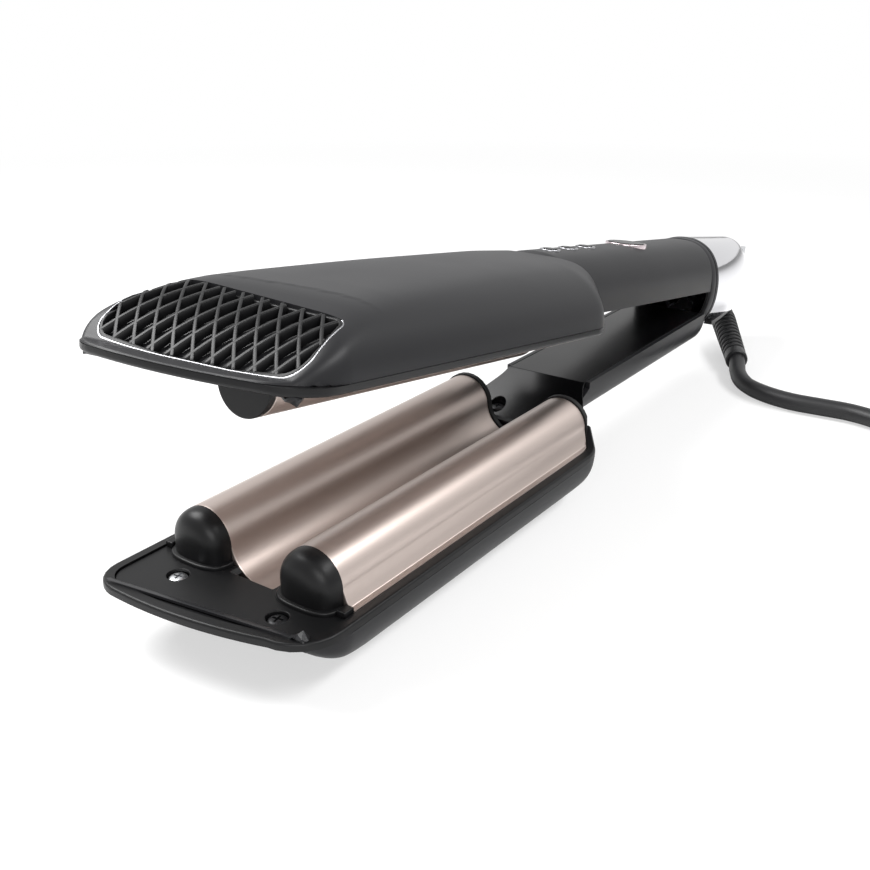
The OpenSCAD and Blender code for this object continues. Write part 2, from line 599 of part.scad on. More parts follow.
module lower_carrier() color("#d8d2c0") lower() {
    for (side = [-1, 1]) translate([front_x + heater_inset, side * barrel_pitch / 2 - 3, lower_back - seat - carrier_t])
        cube([plate_l - 2 * heater_inset, 6, lower_heater_z - seat - lower_back + seat + carrier_t]);
    translate([front_x + 4, -barrel_pitch / 2 - 3, lower_back - seat - carrier_t]) cube([plate_l - 8, barrel_pitch + 6, carrier_t]);
    for (x = [front_x + 22, 0, rear_x - 12])
        translate([x - 2, -2, lower_floor + wall + seat]) cube([4, 4, lower_back - seat - carrier_t - lower_floor - wall]);
}
module lower_thermostat() color("#b9a24c") lower()
    translate([10, -9, lower_back - seat - carrier_t - 2.6 - 0.05]) cube([14, 8, 2.6]);
ramp_x = rear_x + 4;
ramp_end = rear_x + 20;
lower_grip_end = collar_x - 4.2;
panel_top = parting_z - seat;
panel_h = 1.8;
panel_side = grip_w - 1.6;
// Plan of the inner panel
panel_plan = let (w = head_w - rim_w - seat, g = panel_side, end = lower_grip_end) concat(
    [[rear_x, -w]],
    corner([0, -w], [taper_x, -w], [taper_x + 23, -g], 11, 5),
    corner([taper_x, -w], [taper_x + 23, -g], [taper_x + 80, -g], 12, 4),
    [[end, -g], [end, g]],
    corner([taper_x + 80, g], [taper_x + 23, g], [taper_x, w], 12, 4),
    corner([taper_x + 23, g], [taper_x, w], [0, w], 11, 5),
    [[rear_x, w]]
);
ramp_under = [[ramp_end + 1, panel_top - panel_h], [ramp_x + 1, -panel_drop - panel_t]];
// Glossy inner panel: flat behind the plate, up a ramp and along the handle
module grip_panel() color("#101012") lower() difference() {
    intersection() {
        across_y(3 * head_w) polygon([
            [rear_x + 1.6 + seat, -panel_drop - panel_t], [rear_x + 1.6 + seat, -panel_drop], [ramp_x, -panel_drop],
            [ramp_end, panel_top], [lower_grip_end, panel_top], [lower_grip_end, panel_top - panel_h],
            ramp_under[0], [arch_x - seat, 2.4], [arch_x - seat, -panel_drop - panel_t],
        ]);
        translate([0, 0, -10]) linear_extrude(40) polygon(panel_plan);
    }
    for (y = [-rear_screw_y, rear_screw_y]) translate([rear_screw_x, y, -10]) cylinder(r = screw_r + clearance, h = 40, $fn = 32);
}
// Lower half of the handle, open for the panel
module grip_shell(inset, x0, x1) along_x(x0, x1 - x0)
    polygon([for (p = dome(grip_w - inset, grip_depth - inset, 0)) [p.x, parting_z - seat - p.y]]);
module grip_cover() color("#222224") lower() difference() {
    grip_shell(0, arch_x + seat, lower_grip_end);
    grip_shell(1.4, arch_x - 8, lower_grip_end - 1.6);
    across_y(3 * head_w) polygon([
        ramp_under[1] - [0, seat], ramp_under[0] - [0, seat], [ramp_under[0].x, 40], [ramp_under[1].x, 40],
    ]);
    translate([lower_grip_end - 5, -panel_side - 0.1, panel_top - panel_h - seat]) cube([10, 2 * panel_side + 0.2, 10]);
    translate([lower_grip_end - 3, -eye_w - 0.5, arm_z - 0.5]) cube([8, 2 * eye_w + 1, arm_t + 1]);
}
// Arm inside the lower handle that ends in the hinge eye
arm_z = 4.6;
arm_t = 3.3;
module hinge_arm() color("#4a4a4e") difference() {
    union() {
        lower() translate([lower_grip_end - 26, -eye_w, arm_z]) cube([44, 2 * eye_w, arm_t]);
        lower() across_y(2 * eye_w) polygon([
            [lower_grip_end + 16, arm_z], [lower_grip_end + 16, arm_z + arm_t],
            [hinge_x - 4, hinge_z - rim_z + 5], [hinge_x + 3, hinge_z - rim_z - 5.5],
        ]);
        pin_axis(eye_r, 2 * eye_w);
    }
    pin_axis(hinge_r + running, 60);
}
module lower_screws() color("#c9c9cb") lower() {
    for (y = [-screw_y, screw_y]) translate([screw_x, y, -panel_drop - 0.3]) screw(screw_r, 1.1, 4.5);
    for (y = [-rear_screw_y, rear_screw_y]) translate([rear_screw_x, y, 1.4]) screw(screw_r, 1.1, 8);
}

// ---- Cord, coil and plug ----

cord_r = cord_d / 2;
plug_x = 257.5;
plug_y = -110;
plug_z = 8;
plug_l = 20;
pin_pitch = 19;
pin_root = 8;                         // moulded-in length of a pin, a little thinner than its contact
coil_gap = 0.55;
coil_pitch = cord_d + coil_gap;
coil_z = cord_r + 1;
coil_in = 3.5;                        // turns of the lower layer
coil_out = 3.25;                      // turns of the upper layer
coil_r1 = coil_r + coil_in * coil_pitch;
coil_c = [190, -129.5];
// Centre of the coil's cord after t turns. The climb dips inward to clear the turn beside it
function coil_radius(t) = t < coil_in ? coil_r1 - coil_pitch * t
    : t < coil_in + 0.5 ? coil_r - sin(360 * (t - coil_in)) : coil_r + coil_pitch * (t - coil_in - 0.5);
function coil_height(t) = coil_z + coil_pitch * min(max((t - coil_in) / 0.5, 0), 1);
function coil_at(t) = let (a = 180 + 360 * t, r = coil_radius(t))
    [coil_c.x + r * cos(a), coil_c.y + r * sin(a), coil_height(t)];
loop_rings = 24;
coil_turns = coil_in + 0.5 + coil_out;
coil_path = [for (i = [0:round(coil_turns * loop_rings)]) coil_at(i / loop_rings)];
// Least distance between the skins of turns, measured between rings over half a turn apart
coil_least = min([for (i = [0:len(coil_path) - 1], j = [i + 16:1:len(coil_path) - 1])
    norm(coil_path[i] - coil_path[j])]) - cord_d;
echo(str("least gap between the coil's turns: ", coil_least, " mm"));
coil_tangent = unit(coil_path[1] - coil_path[0]);
cord_points = [
    exit + 1.2 * relief_dir, [175, -27.5, 3.9], [167, -34, 3.3], [162, -43, 3.3], [160, -53, 3.3], [160.5, -63, 3.4],
    [161, -73.5, 3.5], [158.5, -83.5, 3.6], [153.3, -92.5, 3.8], [147, -102.5, 4], [142.7, -114, 4.1], coil_path[0],
];
// The tail loosens from the coil and comes down beside it
tail_points = concat([coil_path[len(coil_path) - 1]],
    [for (p = [[285, 49.6, 10.7], [300, 53.2, 9.6], [315, 57.8, 7.9], [330, 62.5, 6.6], [345, 66, 6.6]])
        [coil_c.x + p.y * cos(p.x), coil_c.y + p.y * sin(p.x), p.z]],
    [[plug_x, plug_y - 24, 7.6], [plug_x, plug_y - 14, plug_z], [plug_x, plug_y, plug_z]]);
// Smooth path through points, with n steps between each two
function smooth(p, n) = concat([for (i = [0:len(p) - 2], k = [0:n - 1])
    let (t = k / n, a = p[max(i - 1, 0)], b = p[i], c = p[i + 1], d = p[min(i + 2, len(p) - 1)])
        0.5 * (2 * b + (c - a) * t + (2 * a - 5 * b + 4 * c - d) * t * t + (3 * b - a - 3 * c + d) * t * t * t)],
    [p[len(p) - 1]]);
// Tube of one radius swept along a path
module tube(path, r, sides) {
    n = len(path);
    rings = [for (i = [0:n - 1]) let (
        d = unit(path[min(i + 1, n - 1)] - path[max(i - 1, 0)]),
        u = unit(cross(d, [0, 0, 1])), v = cross(u, d)
    ) for (k = [0:sides - 1]) let (a = 360 * (k + 0.5) / sides) path[i] + r * (u * cos(a) + v * sin(a))];
    skin = [for (i = [0:n - 2], k = [0:sides - 1]) let (
        a = i * sides + k, b = i * sides + (k + 1) % sides
    ) each [[a, a + sides, b], [b, a + sides, b + sides]]];
    fans = [for (k = [1:sides - 2]) each [[0, k, k + 1], [(n - 1) * sides, (n - 1) * sides + k + 1, (n - 1) * sides + k]]];
    polyhedron(rings, concat(skin, fans));
}
module cord() color("#1a1a1b") tube(concat([exit], smooth(cord_points, 2)), cord_r, 10);
module cord_tail() color("#1a1a1b") tube(smooth(tail_points, 1), cord_r, 10);
module cord_coil() color("#1a1a1b") tube(coil_path, cord_r, 6);
tie_t = 0.8;
module coil_tie() color("#3b3b3d") translate([coil_c.x, coil_c.y, 0]) rotate(240) rotate([90, 0, 0]) linear_extrude(8, center = true) {
    difference() {
        translate([coil_r - cord_r - 0.6 - tie_t, 0.05]) square([coil_r1 - coil_r + cord_d + 1.2 + 2 * tie_t, coil_z + coil_pitch + cord_r + 0.4 + tie_t]);
        translate([coil_r - cord_r - 0.6, 0.05 + tie_t]) square([coil_r1 - coil_r + cord_d + 1.2, coil_z + coil_pitch + cord_r + 0.4 - tie_t]);
    }
}
module along_plug() translate([plug_x, plug_y, plug_z]) rotate([-90, 0, 0]) children();
module pin_roots(extra) for (side = [-1, 1]) translate([side * pin_pitch / 2, 0, plug_l - pin_root])
    cylinder(r = pin_d / 2 - 0.2, h = pin_root + extra, $fn = 40);
module plug_body() color("#18181a") along_plug() difference() {
    union() {
        linear_extrude(plug_l) polygon(rounded([[-17.5, -7, 6], [17.5, -7, 6], [17.5, 7, 6], [-17.5, 7, 6]]));
        translate([0, 0, -14]) cylinder(r1 = 4.4, r2 = 6.4, h = 14.2, $fn = 40);
    }
    translate([0, 0, -15]) cylinder(r = cord_r + 0.05, h = 15, $fn = 40);
    pin_roots(1);
}
module plug_pins() color("#b8b8ba") along_plug() {
    pin_roots(0.1);
    for (side = [-1, 1]) translate([side * pin_pitch / 2, 0, plug_l + 0.1]) cylinder(r = pin_d / 2, h = pin_l, $fn = 40);
}

upper_cover();
grip_top();
upper_rim();
upper_grille();
grille_backing();
grille_trim();
upper_plate();
upper_end_cap();
upper_heater();
upper_carrier();
upper_thermal_fuse();
grip_liner();
control_board();
button_rings();
power_ring();
collar();
collar_gasket();
rear_cap();
cap_plate();
swivel_socket();
swivel_ball();
strain_relief();
hinge_bracket();
hinge_pin();
hinge_spring();
wiring();
upper_screws();
button_1();
button_2();
button_3();
power_button();
lower_cover();
lower_rim();
lower_vent();
front_panel();
lower_plate();
lower_end_caps();
plate_clips();
plate_gasket();
lower_heaters();
lower_carrier();
lower_thermostat();
grip_panel();
grip_cover();
hinge_arm();
lower_screws();
cord();
cord_coil();
cord_tail();
coil_tie();
plug_body();
plug_pins();
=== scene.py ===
"""Looks of a deep-wave hair waver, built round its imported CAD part.

The file is laid out as an add-on and run as a script. Sizes in the helpers
are millimetres in the CAD frame and become metres when a mesh is made.
"""

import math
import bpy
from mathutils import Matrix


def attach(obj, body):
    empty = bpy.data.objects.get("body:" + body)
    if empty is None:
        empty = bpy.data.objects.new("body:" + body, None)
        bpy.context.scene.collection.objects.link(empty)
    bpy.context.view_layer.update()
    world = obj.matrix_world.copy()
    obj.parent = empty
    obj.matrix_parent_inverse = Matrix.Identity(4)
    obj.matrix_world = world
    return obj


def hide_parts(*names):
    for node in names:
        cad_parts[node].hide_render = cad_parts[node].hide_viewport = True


bl_info = {
    "name": "Deep-wave hair waver",
    "version": (1, 0, 0),
    "blender": (4, 5, 0),
    "location": "View3D > Sidebar > Waver",
    "description": "Builds the shells, plates, vents, cap and cord of a hair waver",
    "category": "Add Mesh",
}

import bmesh
import bpy
import numpy as np
from mathutils import Matrix, Vector

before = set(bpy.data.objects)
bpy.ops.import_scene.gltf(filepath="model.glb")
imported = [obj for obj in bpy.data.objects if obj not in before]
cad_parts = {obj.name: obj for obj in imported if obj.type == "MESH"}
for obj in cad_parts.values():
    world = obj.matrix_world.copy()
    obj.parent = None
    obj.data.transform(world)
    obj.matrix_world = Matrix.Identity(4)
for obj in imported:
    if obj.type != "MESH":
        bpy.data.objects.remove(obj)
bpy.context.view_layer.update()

MM = 0.001

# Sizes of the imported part, in millimetres
PLATE_FRONT, PLATE_REAR = -55.0, 55.0
RIM_Z = 17.6  # face of the lower rim
RIM_GAP = 9.5  # between the rims with the arms closed
HINGE = Vector((220.7, 0.0, 35.0))
OPEN_ANGLE = math.radians(8.6)
LEAN = 0.135  # run of the front edge across the arms
LEAN_ANGLE = math.atan(LEAN)
ARCH_X = 67.0  # rear end of the head's cover
GRIP_END = 170.85
CAP_X, CAP_END = 177.0, 237.0
PARTING = 0.8  # lower edge of the handle over the rim
CROWN = 18.4  # highest line of the upper arm over its rim
HEAD_W, GRIP_W = 31.0, 15.0  # half widths
BALL = Vector((226.0, 0.0, 10.2))
EXIT = Vector((186.0, -22.5, 5.4))
COIL_CENTRE = (190.0, -129.5)
COIL_TURNS = 7.25

# Sizes that only the looks have: parting of the covers over their rims, and the cap's underside
COVER_EDGE = 2.0
CAP_EDGE = 18.8
SECTION = 2.5  # power of the rounded section of the head and handle

# From over the upper rim, arms closed, to the opened upper arm at rest
UPPER = (Matrix.Translation(HINGE) @ Matrix.Rotation(OPEN_ANGLE, 4, "Y")
         @ Matrix.Translation(-HINGE) @ Matrix.Translation((0, 0, RIM_Z + RIM_GAP)))
# From over the lower rim to the lower arm, upright and turned over
LOWER = Matrix.Translation((0, 0, RIM_Z))
LOWER_FLIP = LOWER @ Matrix.Scale(-1, 4, (0, 0, 1))
# From a plan square to the front edge to one square to the arms
SLANT = (Matrix.Translation((PLATE_FRONT, 0, 0)) @ Matrix.Rotation(LEAN_ANGLE, 4, "Z")
         @ Matrix.Translation((-PLATE_FRONT, 0, 0)))


# ---- Sizes and colours a user would change ----

def linear(hex_colour):
    """sRGB hex to a linear colour with alpha."""
    out = []
    for i in (0, 2, 4):
        c = int(hex_colour.lstrip("#")[i:i + 2], 16) / 255
        out.append(c / 12.92 if c <= 0.04045 else ((c + 0.055) / 1.055) ** 2.4)
    return (*out, 1.0)


def colour_prop(name, hex_colour, description):
    return bpy.props.FloatVectorProperty(
        name=name, description=description, subtype="COLOR", size=4, min=0.0, max=1.0,
        default=linear(hex_colour))


def length_prop(name, mm, description):
    return bpy.props.FloatProperty(name=name, description=description, default=mm * MM,
                                   unit="LENGTH", min=0.0, precision=4)


class WaverShells(bpy.types.PropertyGroup):
    cover_wall: length_prop("Cover wall", 1.8, "Thickness of the moulded covers")
    soft_edge: length_prop("Soft edge", 2.4, "How widely the slope, top and sides blend")
    rim_round: length_prop("Rim rounding", 0.9, "Radius on the outer edge of the rim bands")


class WaverVents(bpy.types.PropertyGroup):
    columns: bpy.props.IntProperty(name="Columns", description="Diamonds across a vent",
                                   default=11, min=4, max=24)
    rows: bpy.props.FloatProperty(name="Rows", description="Diamonds along the slope",
                                  default=2.5, min=1, max=8)
    rib_width: length_prop("Rib width", 0.85, "Width of a vent rib")
    rib_height: length_prop("Rib height", 2.2, "Height of a vent rib")
    trim_width: length_prop("Trim width", 0.3, "Width of the bright line round the vent")


class WaverCord(bpy.types.PropertyGroup):
    diameter: length_prop("Cord diameter", 6.2, "Outside diameter of the mains cord")
    coil_inner: length_prop("Coil inner radius", 25.8, "Radius of the stored coil's inner turns")
    relief_rows: bpy.props.IntProperty(name="Relief rows", default=10, min=4, max=16,
                                       description="Rows of slots on the strain relief")


class WaverFinish(bpy.types.PropertyGroup):
    cover: colour_prop("Cover", "#161618", "Soft-touch coat of the covers")
    rim: colour_prop("Rims", "#0d0d0e", "Moulded rims and end caps")
    panel: colour_prop("Inner panel", "#060607", "Gloss black inner panel")
    plate: colour_prop("Wave plates", "#b2a6a0", "Bronze ceramic coat of the plates")
    cap: colour_prop("Rear cap", "#cfcfd2", "Polished rear cap")
    collar: colour_prop("Collar", "#1b1b1e", "Dark collar before the cap")
    cord: colour_prop("Cord", "#0e0e10", "Jacket of the cord and the strain relief")


# ---- Materials ----

def add(tree, kind, inputs=None, **settings):
    """Adds a node with its settings, and sets or links its inputs."""
    node = tree.nodes.new(kind)
    for key, value in settings.items():
        setattr(node, key, value)
    for key, value in (inputs or {}).items():
        if isinstance(value, bpy.types.NodeSocket):
            tree.links.new(value, node.inputs[key])
        else:
            node.inputs[key].default_value = value
    return node


def shaded(name, colour, grain, depth, rough, span, tone=0.12, stretch=(1, 1, 1), **sockets):
    """A material whose grain, with its size and depth in mm, moves bump, roughness and tone."""
    if name in bpy.data.materials:
        return bpy.data.materials[name]
    mat = bpy.data.materials.new(name)
    mat.use_nodes = True
    tree = mat.node_tree
    tree.nodes.clear()
    place = add(tree, "ShaderNodeTexCoord").outputs["Object"]
    scaled = add(tree, "ShaderNodeMapping", {"Vector": place, "Scale": stretch}).outputs["Vector"]
    fine = add(tree, "ShaderNodeTexNoise",
               {"Vector": scaled, "Scale": 1000 / grain, "Detail": 3.0})
    # Slow unevenness of a moulding, some 35 mm across
    cloud = add(tree, "ShaderNodeTexNoise", {"Vector": scaled, "Scale": 1000 / 35.0, "Detail": 2.0})
    mixed = add(tree, "ShaderNodeMapRange", {
        "Value": cloud.outputs["Fac"], "From Min": 0.3, "From Max": 0.7,
        "To Min": rough - span, "To Max": rough + span})
    dark = [c * (1 - tone) for c in colour[:3]] + [1]
    pale = [min(1.0, c * (1 + tone)) for c in colour[:3]] + [1]
    toned = add(tree, "ShaderNodeMix", {"Factor": cloud.outputs["Fac"]}, data_type="RGBA")
    for socket in toned.inputs:
        if socket.type == "RGBA" and socket.name in "AB":
            socket.default_value = dark if socket.name == "A" else pale
    bump = add(tree, "ShaderNodeBump",
               {"Height": fine.outputs["Fac"], "Distance": depth * MM, "Strength": 0.6})
    shader = add(tree, "ShaderNodeBsdfPrincipled", {
        "Base Color": next(s for s in toned.outputs if s.type == "RGBA"),
        "Roughness": mixed.outputs["Result"], "Normal": bump.outputs["Normal"]})
    for key, value in sockets.items():
        shader.inputs[key.replace("_", " ")].default_value = value
    add(tree, "ShaderNodeOutputMaterial", {"Surface": shader.outputs["BSDF"]})
    return mat


def finish_of(name):
    """The material for one of this waver's finishes."""
    f = bpy.context.scene.waver_finish
    table = {
        # Soft-touch coated ABS: a fine matte grain that spreads a highlight along the shoulders
        "soft_touch_abs": dict(colour=f.cover, grain=0.35, depth=0.008, rough=0.42, span=0.02,
                               tone=0.05, Specular_IOR_Level=0.2),
        # Satin moulded ABS: tighter and darker than the coat beside it
        "satin_moulded_abs": dict(colour=f.rim, grain=0.5, depth=0.008, rough=0.38, span=0.04,
                                  Specular_IOR_Level=0.18),
        # Polished moulded ABS: mirrors the plates and the room faintly
        "gloss_moulded_abs": dict(colour=f.panel, grain=6.0, depth=0.004, rough=0.24, span=0.03,
                                  Specular_IOR_Level=0.16),
        # Ceramic-titanium coat sprayed on drawn aluminium: a bronze metal, satin along the plate
        "bronze_ceramic_coat": dict(colour=f.plate, grain=0.4, depth=0.004, rough=0.41, span=0.02,
                                    tone=0.03, stretch=(0.12, 1, 1), Metallic=1.0),
        # Electroplated and polished ABS: bright, with slow waves from the mould
        "polished_plating": dict(colour=f.cap, grain=14.0, depth=0.006, rough=0.09, span=0.02,
                                 tone=0.02, Metallic=1.0),
        # Bright plated trim and button rings
        "bright_trim_plating": dict(colour=linear("#98989b"), grain=3.0, depth=0.004, rough=0.26,
                                    span=0.02, tone=0.02, Metallic=1.0),
        # Rose-gold plated ring of the large button
        "rose_gold_plating": dict(colour=linear("#c4b8bb"), grain=3.0, depth=0.004, rough=0.2,
                                  span=0.02, tone=0.02, Metallic=1.0),
        # Zinc-plated steel screws and hinge parts, brushed by the tumbling
        "zinc_plated_steel": dict(colour=linear("#b5b6b8"), grain=0.5, depth=0.006, rough=0.3,
                                  span=0.05, tone=0.06, Metallic=1.0),
        # Black-oxide steel screws: dark, with a dull metal sheen
        "black_oxide_steel": dict(colour=linear("#1b1b1d"), grain=0.5, depth=0.006, rough=0.42,
                                  span=0.05, tone=0.1, Metallic=0.6),
        # Moulded nitrile rubber of the gaskets: dull and black
        "nitrile_rubber": dict(colour=linear("#0c0c0d"), grain=0.6, depth=0.02, rough=0.62,
                               span=0.04, Specular_IOR_Level=0.3),
        # Soft PVC jacket of the cord and its relief
        "soft_pvc": dict(colour=f.cord, grain=0.8, depth=0.02, rough=0.5, span=0.05,
                         Specular_IOR_Level=0.36),
        # Painted ABS collar, a little paler than the covers
        "painted_collar_abs": dict(colour=f.collar, grain=0.4, depth=0.008, rough=0.4, span=0.03,
                                   Specular_IOR_Level=0.2),
        # Moulded ABS wall behind the vent ribs, a little paler than they are
        "vent_well_abs": dict(colour=linear("#1c1c1e"), grain=1.2, depth=0.01, rough=0.34,
                              span=0.04, Specular_IOR_Level=0.3),
        # Mica and steatite heater parts: pale and chalky
        "steatite_ceramic": dict(colour=linear("#c9c2b0"), grain=0.6, depth=0.03, rough=0.6,
                                 span=0.05),
        # Lacquered glass-fibre circuit board
        "lacquered_glass_board": dict(colour=linear("#1d5a37"), grain=0.8, depth=0.01, rough=0.3,
                                      span=0.04),
        # Drawn brass of the plug contacts and the thermostat
        "drawn_brass": dict(colour=linear("#b9a24c"), grain=0.5, depth=0.004, rough=0.3,
                            span=0.04, tone=0.05, Metallic=1.0),
        # Silicone sleeve of the inner wires
        "red_silicone_sleeve": dict(colour=linear("#8a2a24"), grain=0.8, depth=0.01, rough=0.5,
                                    span=0.04),
    }
    return shaded(name, **table[name])


# ---- Mesh helpers ----

def mesh_object(name, points, faces, place=None):
    """Mesh object from points in millimetres, put in its place in the CAD frame."""
    mesh = bpy.data.meshes.new(name)
    mesh.from_pydata([tuple(float(c) for c in p) for p in points], [], faces)
    if place is not None:
        mesh.transform(place)
    mesh.transform(Matrix.Scale(MM, 4))
    obj = bpy.data.objects.new(name, mesh)
    bpy.context.scene.collection.objects.link(obj)
    return obj


def outward(obj, merge_mm=0.001):
    """Merges doubles and turns every face out."""
    bm = bmesh.new()
    bm.from_mesh(obj.data)
    bmesh.ops.remove_doubles(bm, verts=bm.verts, dist=merge_mm * MM)
    bmesh.ops.recalc_face_normals(bm, faces=bm.faces)
    bm.to_mesh(obj.data)
    bm.free()
    return obj


def apply_modifiers(obj):
    """Bakes an object's modifiers into a plain mesh."""
    graph = bpy.context.evaluated_depsgraph_get()
    graph.update()
    mesh = bpy.data.meshes.new_from_object(obj.evaluated_get(graph))
    obj.modifiers.clear()
    old = obj.data
    if obj.type == "MESH":
        obj.data = mesh
        bpy.data.meshes.remove(old)
        return obj
    name = obj.name
    bpy.data.objects.remove(obj)
    new = bpy.data.objects.new(name, mesh)
    bpy.context.scene.collection.objects.link(new)
    return new


def smooth(obj, angle=38):
    """Shades an object smooth, but for edges sharper than an angle in degrees."""
    for poly in obj.data.polygons:
        poly.use_smooth = True
    obj.data.set_sharp_from_angle(angle=math.radians(angle))
    return obj


def done(obj, body, finish, *nodes, angle=38):
    """Gives a finished piece its material and its body, and hides the CAD nodes that it stands for.
    """
    obj.data.materials.clear()
    obj.data.materials.append(finish_of(finish))
    if angle:
        smooth(obj, angle)
    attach(obj, body)
    if nodes:
        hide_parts(*nodes)
    return obj


def grid(columns, rows, wrap=False):
    """Faces of a grid of rows by columns of points, wrapped across its columns or not."""
    return [(r * columns + c, r * columns + (c + 1) % columns,
             (r + 1) * columns + (c + 1) % columns, (r + 1) * columns + c)
            for r in range(rows - 1) for c in range(columns if wrap else columns - 1)]


def circle(x, r):
    """Round outline about a point on the middle plane."""
    return [(x + r * math.cos(a), r * math.sin(a))
            for a in np.linspace(0, 2 * math.pi, 48, endpoint=False)]


def half_turn(n):
    """Angles over half a section, with how far across and how high each of its points lies."""
    turn = np.linspace(0, math.pi, n)
    across = np.sign(np.cos(turn)) * np.abs(np.cos(turn)) ** (2 / SECTION)
    return turn, across, np.abs(np.sin(turn)) ** (2 / SECTION)


def lathe(name, profile, n, place=None):
    """Closed turned piece from a profile of radii and heights."""
    turn = [2 * math.pi * k / n for k in range(n)]
    points = [(r * math.cos(a), r * math.sin(a), z) for r, z in profile for a in turn]
    return outward(mesh_object(name, points, grid(n, len(profile), wrap=True), place), 0.01)


def prism(name, outline, low, high, place):
    """Closed prism of a flat outline between two heights."""
    n = len(outline)
    points = [(x, y, z) for z in (low, high) for x, y in outline]
    faces = grid(n, 2, wrap=True) + [tuple(range(n - 1, -1, -1)), tuple(range(n, 2 * n))]
    return outward(mesh_object(name, points, faces, place))


def cut(obj, tool):
    """Takes a closed tool out of a piece and removes the tool."""
    mod = obj.modifiers.new("cut", "BOOLEAN")
    mod.operation, mod.object, mod.solver = "DIFFERENCE", tool, "EXACT"
    apply_modifiers(obj)
    bpy.data.objects.remove(tool)
    return obj


def trimmed(obj, point, normal):
    """Cuts away what lies on the normal's side of a plane, given in metres."""
    bm = bmesh.new()
    bm.from_mesh(obj.data)
    bmesh.ops.bisect_plane(bm, geom=bm.verts[:] + bm.edges[:] + bm.faces[:], dist=1e-6,
                           plane_co=point, plane_no=normal, clear_outer=True)
    bm.to_mesh(obj.data)
    bm.free()
    return obj


def windowed(obj, outline, place):
    """Opens a convex window, drawn in plan, through a shell's two sheets and closes its edge."""
    front = -30 * MM  # every window lies ahead of this
    bm = bmesh.new()
    bm.from_mesh(obj.data)
    within = [f for f in bm.faces if f.calc_center_median().x < front]
    turn = place.to_3x3()
    centre = sum((Vector(p) for p in outline), Vector((0, 0))) / len(outline)
    for a, b in zip(outline, outline[1:] + outline[:1]):
        edge = Vector(b) - Vector(a)
        if edge.length < 1e-4:
            continue
        out = Vector((edge.y, -edge.x, 0)).normalized()
        if out.xy.dot(centre - Vector(a)) > 0:
            out = -out
        point, normal = (place @ Vector((*a, 0))) * MM, turn @ out
        geom = set(within)
        for f in within:
            geom.update(f.edges)
            geom.update(f.verts)
        made = bmesh.ops.bisect_plane(bm, geom=list(geom), dist=1e-7, plane_co=point,
                                      plane_no=normal)
        within = [f for f in made["geom"] if isinstance(f, bmesh.types.BMFace)
                  and (f.calc_center_median() - point).dot(normal) < 0]
    bmesh.ops.delete(bm, geom=within, context="FACES")
    bmesh.ops.bridge_loops(bm, edges=[e for e in bm.edges if e.is_boundary])
    bmesh.ops.recalc_face_normals(bm, faces=bm.faces)
    bm.to_mesh(obj.data)
    bm.free()
    return obj


def walled(obj, wall):
    """Gives an open surface its wall, inwards, in metres."""
    mod = obj.modifiers.new("wall", "SOLIDIFY")
    mod.thickness, mod.offset, mod.use_even_offset = wall, -1, False
    return apply_modifiers(obj)


def dressed(node, name, body, finish, width_mm=0.35, angle=35, keep=None, shave=None):
    """Copy of a CAD node with its doubles merged and its sharp edges rounded, in its place."""
    merge_mm = 0.002
    obj = bpy.data.objects.new(name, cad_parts[node].data.copy())
    bpy.context.scene.collection.objects.link(obj)
    if shave:
        cut(outward(obj, merge_mm), shave)
    bm = bmesh.new()
    bm.from_mesh(obj.data)
    bmesh.ops.remove_doubles(bm, verts=bm.verts, dist=merge_mm * MM)
    bmesh.ops.dissolve_limit(bm, angle_limit=math.radians(0.5), verts=bm.verts, edges=bm.edges)
    limit = math.radians(angle)
    edges = [e for e in bm.edges if len(e.link_faces) == 2 and e.calc_face_angle(0) > limit
             and (keep is None or keep((e.verts[0].co + e.verts[1].co) / 2))]
    bmesh.ops.bevel(bm, geom=edges, offset=width_mm * MM, offset_type="OFFSET", segments=3,
                    profile=0.5, affect="EDGES", clamp_overlap=True)
    bm.to_mesh(obj.data)
    bm.free()
    smooth(obj)
    even = obj.modifiers.new("even", "WEIGHTED_NORMAL")
    even.keep_sharp = True
    apply_modifiers(obj)
    return done(obj, body, finish, node, angle=None)


def repaint(node, finish):
    """Gives a CAD node a finish in its own slots."""
    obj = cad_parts[node]
    if not obj.material_slots:
        obj.data.materials.append(None)
    for slot in obj.material_slots:
        slot.material = finish_of(finish)
    return obj


def soft_min(a, b, reach):
    """Lower of two heights, blended where they are within reach of each other."""
    h = np.maximum(reach - np.abs(a - b), 0) / reach
    return np.minimum(a, b) - h * h * reach / 4


# ---- Shells of the head ----

def side_line(x):
    """Half width of the head and handle along the arms, with soft corners at the taper."""
    start, end, corner = 51.0, 76.0, 1.8
    soft = [0.5 * ((x - at) + np.sqrt((x - at) ** 2 + corner ** 2)) for at in (start, end)]
    return HEAD_W - (HEAD_W - GRIP_W) / 25 * (soft[0] - soft[1])


def nose_line(y):
    """Front edge of the head, with its corner radii."""
    reach, bow = 23.3, 4
    x = PLATE_FRONT - reach - LEAN * y + bow * (y / HEAD_W) ** 2
    for side, radius in ((1, 8.2), (-1, 11.7)):
        past = np.clip(side * y - (HEAD_W - radius), 0, radius)
        x = x + radius - np.sqrt(radius ** 2 - past ** 2)
    return x


def nose_distance(x, y):
    """Distance in plan from points to the front edge and its corners."""
    # Closest together at the corners, where the edge runs along the arms
    along = HEAD_W * np.sin(np.linspace(-math.pi / 2, math.pi / 2, 400))
    edge = nose_line(along)
    return np.min(np.hypot(x[..., None] - edge, y[..., None] - along), axis=-1)


def dome(share):
    """Height of the rounded section at a share of its half width."""
    return CROWN * np.maximum(0, 1 - share ** SECTION) ** (1 / SECTION)


